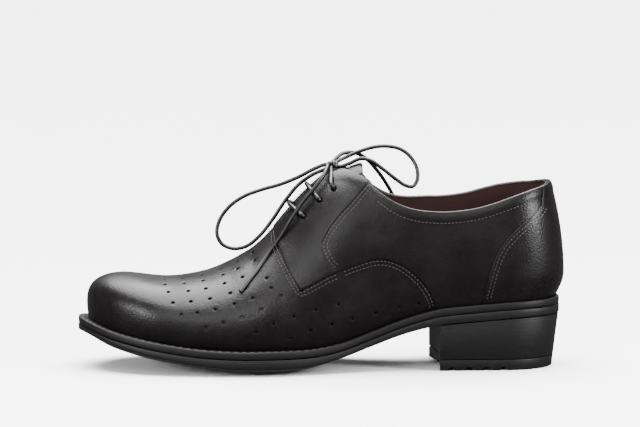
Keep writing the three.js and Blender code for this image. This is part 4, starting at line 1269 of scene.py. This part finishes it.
@dataclass
class Tongue:
    """The tongue under the facings."""

    pattern: Pattern
    builder: Builder
    leather: bpy.types.Material
    thickness: float = 1.5
    half_width: float = 21.0
    rise: float = 9.0
    out: float = -2.2
    rows: int = 90
    columns: int = 41

    def build(self) -> None:
        """Make the tongue."""
        last = self.pattern.last
        front, back = self.pattern.throat + 0.035, self.pattern.facing_top - self.rise / last.length
        share, across = np.meshgrid(np.linspace(0, 1, self.rows), np.linspace(-1, 1, self.columns), indexing="ij")
        tip = 1 - 0.35 * smoothstep(share, 0.8, 1)
        side = np.where(across < 0, -1.0, 1.0)
        a, level = last.across(side, front + (back - front) * share, np.abs(across) * self.half_width * tip)
        near = np.clip(np.minimum(np.minimum(1 - np.abs(across), 1 - share), share) * 21, 0, 1)
        edge = 0.75 * (1 - np.sqrt(1 - (1 - near) ** 2))
        layers = [last.point(side, a, level, self.out - edge),
                  last.point(side, a, level, self.out - self.thickness + edge)]
        points = np.vstack([layer.reshape(-1, 3) for layer in layers])
        count, faces = self.rows * self.columns, []
        for row in range(self.rows - 1):
            for column in range(self.columns - 1):
                i = row * self.columns + column
                faces.append((i, i + 1, i + self.columns + 1, i + self.columns))
                faces.append((count + i, count + i + self.columns, count + i + self.columns + 1, count + i + 1))
        rim = [c for c in range(self.columns)] + [r * self.columns + self.columns - 1 for r in range(1, self.rows)]
        rim += [(self.rows - 1) * self.columns + c for c in range(self.columns - 2, -1, -1)]
        rim += [r * self.columns for r in range(self.rows - 2, 0, -1)]
        for i, j in zip(rim, rim[1:] + rim[:1]):
            faces.append((j, i, count + i, count + j))
        self.builder.mesh("tongue_leather", points, faces, self.leather, "upper_leather", ["tongue"], weld=0.004,
                          sharp=70)


@dataclass
class Sole:
    """Outsole, welt, insole, heel and top piece."""

    pattern: Pattern
    builder: Builder
    rubber: bpy.types.Material
    ribbed: bpy.types.Material
    lining: bpy.types.Material
    thread_finish: bpy.types.Material
    welt_width: float = 11.0
    toe_edge: float = 5.4
    waist_edge: float = 3.2
    heel_edge: float = 3.6
    insole_thickness: float = 2.6
    top_piece: float = 5.8
    breast: float = 64.0
    hollow: float = 2.4
    taper_back: float = 3.6
    taper_side: float = 1.6
    groove_depth: float = 2.0
    groove_width: float = 3.4
    groove_pitch: float = 9.2
    groove_reach: float = 9.0
    groove_count: int = 4

    def edge_width(self, s: Array) -> Array:
        """Give how far the sole stands out past the feather edge."""
        front, rear = smoothstep(s, 0.42, 0.66), 1 - smoothstep(s, 0.2, 0.34)
        return (self.waist_edge + (self.toe_edge - self.waist_edge) * front
                + (self.heel_edge - self.waist_edge) * rear)

    def bent(self, s: Array, across: Array) -> Array:
        """Give how far the sole bends down towards its middle under the ball."""
        return (self.pattern.last.edge_lift + 1.5) * SOLE_LINE("lift", s) * (1 - np.power(across, 2.2))

    def layer(self, extra: Callable[[Array], Array], low: Callable[[Array, Array], Array],
              high: Callable[[Array, Array], Array], rounding: float = 0.5, rows: int = 190, columns: int = 25
              ) -> tuple[Array, list[tuple[int, ...]]]:
        """Make a layer of the sole with rounded edges.

        Args:
            extra: How far it stands out past the feather edge at a station.
            low: Its underside's height, by station and by distance out as a share of the sole's half width.
            high: Its top's height.
            rounding: The radius of its edges.
            rows: How many rows it has along the shoe.
            columns: How many columns it has across.

        Returns:
            Points and faces.
        """
        last = self.pattern.last
        a = np.linspace(0, 1, rows)
        s = (1 - np.cos(np.pi * a)) / 2
        share = np.linspace(0, 1, columns)
        sole = [last.outline(side, a, self.edge_width(s)) for side in Side]
        width = np.linalg.norm(sole[1] - sole[0], axis=1)
        levels = [(0.0, 1.0), (0.3, 0.3), (1.0, 0.0)]
        levels += [(-up, inset) for up, inset in levels[::-1]]
        grids = []
        for up, inset in levels:
            edges = [last.outline(side, a, extra(s) - inset * rounding) for side in Side]
            plan = edges[0][:, None] + (edges[1] - edges[0])[:, None] * share[None, :, None]
            reach = np.linalg.norm(edges[1] - edges[0], axis=1) / np.where(width > 1e-6, width, 1)
            across = np.abs(2 * share - 1)[None] * np.minimum(reach, 1)[:, None]
            at = last.station(plan[..., 0])
            bottom, top = low(at, across), high(at, across)
            z = bottom + up * rounding if up > 0 or (up == 0 and not grids) else top + up * rounding
            grids.append(np.concatenate([plan, z[..., None]], -1))
        points = np.vstack([grid.reshape(-1, 3) for grid in grids])
        count, faces = rows * columns, []
        for row in range(rows - 1):
            for column in range(columns - 1):
                i = row * columns + column
                faces.append((i, i + 1, i + columns + 1, i + columns))
                j = i + 5 * count
                faces.append((j, j + columns, j + columns + 1, j + 1))
        rim = [r * columns for r in range(rows)]
        for side_rim, flip in ((rim, False), ([i + columns - 1 for i in rim], True)):
            for i, j in zip(side_rim, side_rim[1:]):
                for level in range(5):
                    quad = (i + level * count, j + level * count, j + (level + 1) * count, i + (level + 1) * count)
                    faces.append(quad[::-1] if flip else quad)
        return points, faces

    def underside(self, s: Array, across: Array) -> Array:
        """Give the outsole's underside."""
        return np.maximum(self.pattern.last.sole_edge(s) - self.bent(s, across), 0)

    def welt_foot(self, s: Array, across: Array) -> Array:
        """Give the level that welt and filler stand on."""
        last = self.pattern.last
        return last.welt_level(s) - np.minimum(self.bent(s, across), last.edge_lift)

    def welt_ring(self) -> tuple[Array, list[tuple[int, ...]]]:
        """Make the welt, a strip that runs round the whole shoe."""
        last, count = self.pattern.last, 300
        a = np.concatenate([np.linspace(0, 1, count, endpoint=False), np.linspace(1, 0, count, endpoint=False)])
        side = np.repeat([-1.0, 1.0], count)
        s = (1 - np.cos(np.pi * a)) / 2
        groove = np.where((s > 0.5), 0.35, 0.0) * smoothstep(s, 0.42, 0.5)
        profile = ((-self.welt_width, 0.0, 0.0), (-0.5, 0.0, 0.0), (-0.12, 0.1, 0.0), (0.0, 0.3, 0.0), (0.0, 0.7, 0.0),
                   (-0.18, 0.92, 0.0), (-0.6, 1.0, 0.0), (-1.3, 1.0, 0.0), (-1.8, 1.0, 1.0), (-2.5, 1.0, 1.0),
                   (-3.0, 1.0, 0.0), (-self.welt_width, 1.0, 0.0))
        rings = []
        for inset, up, sunk in profile:
            plan = last.outline(side, a, self.edge_width(s) + inset)
            at = last.station(plan[:, 0])
            z = last.welt_level(at) + last.welt * up - sunk * groove
            rings.append(np.column_stack([plan, z]))
        points, size, faces = np.vstack(rings), 2 * count, []
        for k in range(len(profile)):
            n = (k + 1) % len(profile)
            for i in range(size):
                j = (i + 1) % size
                faces.append((k * size + i, k * size + j, n * size + j, n * size + i))
        return points, faces

    def welt_stitches(self) -> tuple[Array, list[tuple[int, ...]]]:
        """Sew the welt from waist to waist round the toe."""
        last = self.pattern.last
        start = math.acos(1 - 2 * 0.47) / math.pi
        a = np.concatenate([np.linspace(start, 1, 200), np.linspace(1, start, 200)[1:]])
        side = np.repeat([-1.0, 1.0], [200, 199])
        s = (1 - np.cos(np.pi * a)) / 2
        plan = last.outline(side, a, self.edge_width(s) - 2.15)
        line = np.column_stack([plan, last.bed(last.station(plan[:, 0])) - 0.12])
        return Thread(4.2, 3.1, 0.42).sew(line, np.tile([0.0, 0.0, 1.0], (len(line), 1)))

    def heel_body(self, low: float, high: Callable[[Array], Array], rounding: float) -> tuple[Array, list]:
        """Make a layer of the heel, hollowed at the breast and tapering down.

        Args:
            low: Height of its foot.
            high: Height of its top at a station.
            rounding: The radius of its edges.

        Returns:
            Points and faces.
        """
        last, rows, columns = self.pattern.last, 70, 33
        turn = math.acos(1 - 2 * self.breast / last.length) / math.pi
        a, share = turn * np.linspace(0, 1, rows), np.linspace(0, 1, columns)
        back = 1 - np.linspace(0, 1, rows)
        grids = []
        steps = [(0.0, 1.0), (0.3, 0.3), (1.0, 0.0)]
        for top in (False, True):
            for up, inset in (steps[::-1] if top else steps):
                edges = [last.outline(side, a, self.heel_edge - last.gap - inset * rounding) for side in Side]
                plan = edges[0][:, None] + (edges[1] - edges[0])[:, None] * share[None, :, None]
                s = last.station(plan[..., 0])
                z = high(s) - up * rounding if top else np.full(s.shape, low + up * rounding)
                down = 1 - z / last.heel_rise
                plan[..., 0] -= self.taper_back * down * back[:, None]
                plan[..., 1] -= (2 * share - 1)[None] * self.taper_side * down
                plan[..., 0] += self.hollow * (1 - (2 * share - 1) ** 2)[None] * (1 - back)[:, None]
                plan[..., 0] += inset * rounding * np.where(back < 1e-9, 1.0, 0.0)[:, None]
                grids.append(np.concatenate([plan, z[..., None]], -1))
        points, count, faces = np.vstack([grid.reshape(-1, 3) for grid in grids]), rows * columns, []
        for row in range(rows - 1):
            for column in range(columns - 1):
                i = row * columns + column
                faces.append((i, i + 1, i + columns + 1, i + columns))
                j = i + 5 * count
                faces.append((j, j + columns, j + columns + 1, j + 1))
        rim = [r * columns for r in range(rows)] + [(rows - 1) * columns + c for c in range(1, columns)]
        rim += [r * columns + columns - 1 for r in range(rows - 2, -1, -1)]
        for i, j in zip(rim, rim[1:]):
            for level in range(5):
                faces.append((i + level * count, j + level * count, j + (level + 1) * count, i + (level + 1) * count))
        return points, faces

    def cut_grooves(self, piece: bpy.types.Object) -> None:
        """Cut the top piece's grooves with boxes."""
        last = self.pattern.last
        front = -self.breast
        places = [(front + self.groove_pitch * (i + 0.75), side * last.ball_width * float(PLAN("half", last.heel_round)),
                   self.groove_width, 2 * self.groove_reach) for i in range(self.groove_count) for side in Side]
        places.append((front, 0.0, 2 * self.groove_reach, self.groove_width * 1.6))
        for x, y, long, wide in places:
            centre = self.builder.local(np.array([x, y, 0.0]))
            bpy.ops.mesh.primitive_cube_add(size=1, location=tuple(centre))
            cutter = bpy.context.active_object
            cutter.scale = (long * MM, wide * MM, 2 * self.groove_depth * MM)
            bpy.ops.object.transform_apply(location=True, rotation=False, scale=True)
            cut = piece.modifiers.new("groove", "BOOLEAN")
            cut.object, cut.operation, cut.solver = cutter, "DIFFERENCE", "EXACT"
            bpy.ops.object.select_all(action="DESELECT")
            bpy.context.view_layer.objects.active = piece
            piece.select_set(True)
            bpy.ops.object.modifier_apply(modifier=cut.name)
            bpy.data.objects.remove(cutter)

    def build(self) -> None:
        """Make the sole's pieces."""
        last, make = self.pattern.last, self.builder.mesh
        plate = self.layer(self.edge_width, self.underside, lambda s, x: self.welt_foot(s, x) - last.gap, 0.55)
        filler = self.layer(lambda s: self.edge_width(s) - self.welt_width - last.gap,
                            lambda s, x: self.welt_foot(s, x) - last.outsole / 2 * SOLE_LINE("outsole", s),
                            lambda s, x: self.welt_foot(s, x) + last.welt - last.gap, 0.2, 60, 9)
        make("outsole_rubber", *joined([plate, filler]), self.ribbed, "sole_rubber", ["outsole"], weld=0.004)
        make("welt_strip", *self.welt_ring(), self.rubber, "sole_rubber", ["welt"], weld=0.004)
        make("welt_stitches", *self.welt_stitches(), self.thread_finish, "sole_rubber", ["welt"])
        make("insole_sock", *self.layer(lambda s: np.full(np.shape(s), -self.pattern.last.gap * 2 - 1.6),
                                        lambda s, x: last.bed(s) + 1.5 * last.gap,
                                        lambda s, x: last.bed(s) + 1.5 * last.gap + self.insole_thickness, 0.5, 90, 15),
             self.lining, "lining_leather", ["insole"], weld=0.004)
        make("heel_block", *self.heel_body(self.top_piece + last.gap, lambda s: last.sole_edge(s) - 1.5 * last.gap, 0.3),
             self.ribbed, "sole_rubber", ["heel"], weld=0.004)
        foot = make("heel_top_piece", *self.heel_body(0.0, lambda s: np.full(s.shape, self.top_piece), 0.3),
                    self.rubber, "sole_rubber", ["top_piece"], weld=0.004)
        self.cut_grooves(foot)


FRONT_LOOP = (
    (3.9, 2.2, 0), (10, 4.5, -2.6), (18, 7, -7), (28, 9, -11.2), (37, 10.5, -13.8), (47, 11, -17.5), (55, 11, -23),
    (60.5, 10.5, -30.5), (62, 9.5, -37.5), (59.5, 8.5, -43), (53.5, 7.5, -45.6), (46, 6.5, -44.2), (39, 5.5, -38.5),
    (32, 4.5, -29.5), (25, 3.5, -19), (18, 2.5, -10.6), (10.5, 1, -5.2), (4, -0.9, -2.2))
BACK_LOOP = (
    (-4.1, -0.6, -0.8), (-9, -1.2, 0.8), (-15, -2, 3.4), (-20, -3.5, 2.6), (-26, -4.5, -1.5), (-33, -5, -7),
    (-39, -4.5, -11), (-43, -3.5, -11.5), (-45.5, -2, -8), (-45.5, 0, -2.5), (-42.5, 2, 3.5), (-37, 3.5, 8),
    (-30, 4.5, 9.6), (-23, 5, 9.2), (-15, 4.5, 7), (-8, 3.5, 4.2), (-3.6, 1.6, 2.2))
BACK_END = (
    (-0.6, 3, 1.7), (-5.5, 7.5, 5.4), (-10.5, 10.5, 6), (-15.5, 15, 4.5), (-20.5, 20, 1), (-25.5, 25, -4.5),
    (-30, 29, -10.5), (-34, 32.5, -17), (-37.5, 36, -23.5), (-40.5, 38.6, -32), (-42, 39.8, -41))
FRONT_END = (
    (2.6, -3.5, 0.8), (3.6, -8.5, -0.8), (5.6, -13, -4.3), (11.8, -16.6, -12.1), (18, -17.8, -19.6),
    (22.7, -19.2, -26.4), (26.5, -19.3, -32.8), (29.9, -19.6, -38.1), (33.4, -19.9, -42.9), (38.2, -22.7, -49.2),
    (42.9, -26.5, -55.2), (46.9, -29.5, -59.8), (50.7, -32.4, -64.4))


@dataclass
class Laces:
    """The round cord: bars through the eyelets, a knot and its bow."""

    pattern: Pattern
    builder: Builder
    cord: bpy.types.Material
    diameter: float = 2.2
    over: float = 2.8
    between: float = 1.1
    knot_radius: float = 2.5
    step: float = 0.42

    def knot_place(self) -> Array:
        """Give the middle of the knot."""
        last, s = self.pattern.last, self.pattern.knot
        return last.ridge(s) + last.ridge_normal(s) * (self.knot_radius - last.gap)

    def above(self, side: float, s: float, distance: float, out: float) -> Array:
        """Give a point above the upper in the plane square to the ridge."""
        last = self.pattern.last
        a, level = last.square_to_ridge(side, s, distance)
        return last.point(np.array(float(side)), np.array(a), np.array(level), out)

    def run(self, points: Array) -> Array:
        """Give close points along a smooth route."""
        rough = smooth_line(np.asarray(points, float), 400)
        length = np.linalg.norm(np.diff(rough, axis=0), axis=1).sum()
        return even_line(rough, int(length / self.step) + 1)

    def braided(self, line: Array) -> tuple[Array, list[tuple[int, ...]]]:
        """Make the cord along a line."""
        return tube(line, self.diameter / 2, 16, 0.09, 2.6)

    def bar(self, index: int) -> tuple[Array, list[tuple[int, ...]]]:
        """Make the cord that crosses from an eyelet to the one opposite, down through both."""
        s = self.pattern.crossings[index]
        reach = self.pattern.half_gap(s) + self.pattern.eyelet_inset
        half = [(reach, -1.5), (reach, 0.4), (reach - 0.35, 1.9), (reach - 1.6, self.over), (reach * 0.75, self.over)]
        half += [(reach * 0.5, self.over - 0.15), (reach * 0.3, 1.8), (reach * 0.12, self.between)]
        rows = [self.above(Side.LATERAL, s, y, out) for y, out in half]
        rows.append(self.above(Side.MEDIAL, s, 0.0, self.between))
        rows += [self.above(Side.MEDIAL, s, y, out) for y, out in half[::-1]]
        return self.braided(self.run(np.array(rows)))

    def strand(self, side: Side) -> tuple[Array, list[tuple[int, ...]]]:
        """Make the cord from under a top eyelet up to the knot."""
        s = self.pattern.crossings[-1]
        reach = self.pattern.half_gap(s) + self.pattern.eyelet_inset
        centre = self.knot_place()
        points = [self.above(side, s, reach, out) for out in (-1.5, 0.6, 2.2)]
        end = centre + (-1.0, side * 2.2, -0.9)
        start = self.above(side, s, reach - 1.0, self.over + 0.9)
        points += [start, (start + end) / 2 + (0, 0, 1.0), end]
        return self.braided(self.run(np.array(points)))

    def knot(self) -> list[tuple[Array, list[tuple[int, ...]]]]:
        """Make the knot: a turn of cord round the crossing strands."""
        centre = self.knot_place()
        angle = np.linspace(0, 2 * math.pi, 60)
        wrap = np.column_stack([0.5 * np.sin(angle) + 0.35 * np.cos(2 * angle), 2.1 * np.cos(angle), 1.75 * np.sin(angle)])
        second = np.column_stack([2.2 * np.cos(angle), 1.2 * np.sin(angle), 0.9 * np.sin(2 * angle) + 0.2])
        return [self.braided(even_line(centre + turn, 40)) for turn in (wrap, second)]

    def route(self, table: Sequence[tuple[float, float, float]], tuck: int) -> Array:
        """Turn a route from the knot into close points; tuck counts the ends that go back into the knot."""
        centre = self.knot_place()
        rows = [centre + (-forward, medial, up) for forward, medial, up in table]
        rows.insert(0, centre + (rows[0] - centre) * 0.45)
        if tuck == 2:
            rows.append(centre + (rows[-1] - centre) * 0.45)
        return self.run(np.array(rows))

    def tipped(self, line: Array) -> tuple[Array, list[tuple[int, ...]]]:
        """Make a free end with its pressed tip."""
        return joined([self.braided(line), tube(line[-18:], self.diameter / 2 * 1.05, 16)])

    def build(self) -> None:
        make = self.builder.mesh
        bars = [self.bar(i) for i in range(len(self.pattern.crossings) - 1)]
        strands = [self.strand(side) for side in Side]
        make("lace_bars", *joined(bars), self.cord, "lace_cord", ["lace_bar_1", "lace_bar_2"], sharp=60)
        make("lace_strands", *joined(strands), self.cord, "lace_cord",
             ["lace_strand_lateral", "lace_strand_medial"], sharp=60)
        make("knot_turns", *joined(self.knot()), self.cord, "lace_cord", ["lace_knot"], sharp=60)
        for name, table, loop in (("front_loop", FRONT_LOOP, True), ("back_loop", BACK_LOOP, True),
                                  ("front_end", FRONT_END, False), ("back_end", BACK_END, False)):
            line = self.route(table, 2 if loop else 1)
            node = f"lace_{'loop' if loop else 'end'}_{name.split('_')[0]}"
            body = self.braided(line) if loop else self.tipped(line)
            piece = make(name, *body, self.cord, "lace_cord", [node], sharp=60)
            path = self.builder.local(line)
            self.diameter * MM


@dataclass(frozen=True)
class Studio:
    """White floor, soft lights and the camera."""

    target: tuple[float, float, float] = (-0.00095, 0.0, 0.082)
    azimuth: float = 3.4
    elevation: float = 5.1
    distance: float = 1.6
    lens: float = 166.95

    def floor(self) -> None:
        """Lay a plain pale floor."""
        bpy.ops.mesh.primitive_plane_add(size=30, location=(0, 6, 0))
        ground = bpy.context.active_object
        ground.name = "floor"
        graph = Graph("floor paint")
        ground.data.materials.append(graph.finish(Base_Color=(0.93, 0.93, 0.93, 1.0), Roughness=0.32,
                                                  Specular_IOR_Level=0.35))
        ground.visible_glossy = False
        ground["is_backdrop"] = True

    def light(self, name: str, place: tuple[float, float, float], aim: tuple[float, float, float],
              size: tuple[float, float], power: float) -> None:
        """Hang a softbox."""
        bpy.ops.object.light_add(type="AREA", location=place)
        lamp = bpy.context.active_object
        lamp.name = name
        lamp.data.shape = "RECTANGLE"
        lamp.data.size, lamp.data.size_y = size
        lamp.data.energy = power
        lamp.rotation_euler = (Vector(aim) - Vector(place)).to_track_quat("-Z", "Y").to_euler()
        lamp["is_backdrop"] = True

    def camera(self) -> None:
        """Place the camera as the photograph's."""
        turn, rise = math.radians(self.azimuth), math.radians(self.elevation)
        ahead = Vector((math.sin(turn) * math.cos(rise), math.cos(turn) * math.cos(rise), -math.sin(rise)))
        bpy.ops.object.camera_add(location=Vector(self.target) - ahead * self.distance,
                                  rotation=ahead.to_track_quat("-Z", "Y").to_euler())
        camera = bpy.context.active_object
        camera.data.lens, camera.data.sensor_width = self.lens, 36
        camera.data.clip_start, camera.data.clip_end = 0.05, 100
        bpy.context.scene.camera = camera

    def build(self) -> None:
        """Set up the studio."""
        self.camera()
        self.floor()
        self.sun("sky light", (0.05, 0.2, 1.0), 27.0, 70)
        self.light("toe softbox", (-1.35, -0.95, 0.5), (-0.1, 0.0, 0.03), (0.4, 0.4), 30)
        self.light("heel softbox", (1.3, -0.75, 0.6), (0.1, 0.0, 0.05), (0.35, 0.5), 42)
        self.light("front softbox", (-0.5, -2.0, 1.3), (0.0, 0.0, 0.05), (1.3, 0.9), 40)
        world = bpy.data.worlds.new("studio")
        bpy.context.scene.world = world
        world.use_nodes = True
        world.node_tree.nodes["Background"].inputs["Color"].default_value = (1.0, 1.0, 1.0, 1.0)
        world.node_tree.nodes["Background"].inputs["Strength"].default_value = 0.25

    def sun(self, name: str, way: tuple[float, float, float], strength: float, spread: float) -> None:
        """Hang a wide soft light far above, as of a lit ceiling.

        Args:
            name: The lamp's name.
            way: The direction that it shines from.
            strength: Its strength.
            spread: The angle that it fills, in degrees.
        """
        bpy.ops.object.light_add(type="SUN", location=(0, 0, 3))
        lamp = bpy.context.active_object
        lamp.name = name
        lamp.data.energy, lamp.data.angle = strength, math.radians(spread)
        lamp.rotation_euler = (-Vector(way)).to_track_quat("-Z", "Y").to_euler()
        lamp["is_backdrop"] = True


def corners() -> list[list[float]]:
    """Give the shown object's box as plain lists."""
    return [[float(value) for value in corner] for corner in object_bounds()]


def main() -> None:
    """Build the shoe and the studio."""
    logging.basicConfig(level=logging.INFO, format="%(relativeCreated)d %(message)s")
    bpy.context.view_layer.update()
    Studio().build()
    last = Last()
    pattern, builder = Pattern(last), Builder(last)
    leather, lining = Leather("black leather").material(), Lining().material()
    rubber, ribbed = Rubber().material(), Rubber("ribbed rubber", lines=0.55).material()
    cord, thread = Waxed("waxed lace").material(), Waxed("sewing thread", (0.022, 0.019, 0.019), 0.4).material()
    Laces(pattern, builder, cord).build()
    Sole(pattern, builder, rubber, ribbed, lining, thread).build()
    Tongue(pattern, builder, leather).build()
    Upper(pattern, builder, leather, lining, thread).build()
    LOG.info("%d faces in all", builder.faces)


if __name__ == "__main__":
    main()
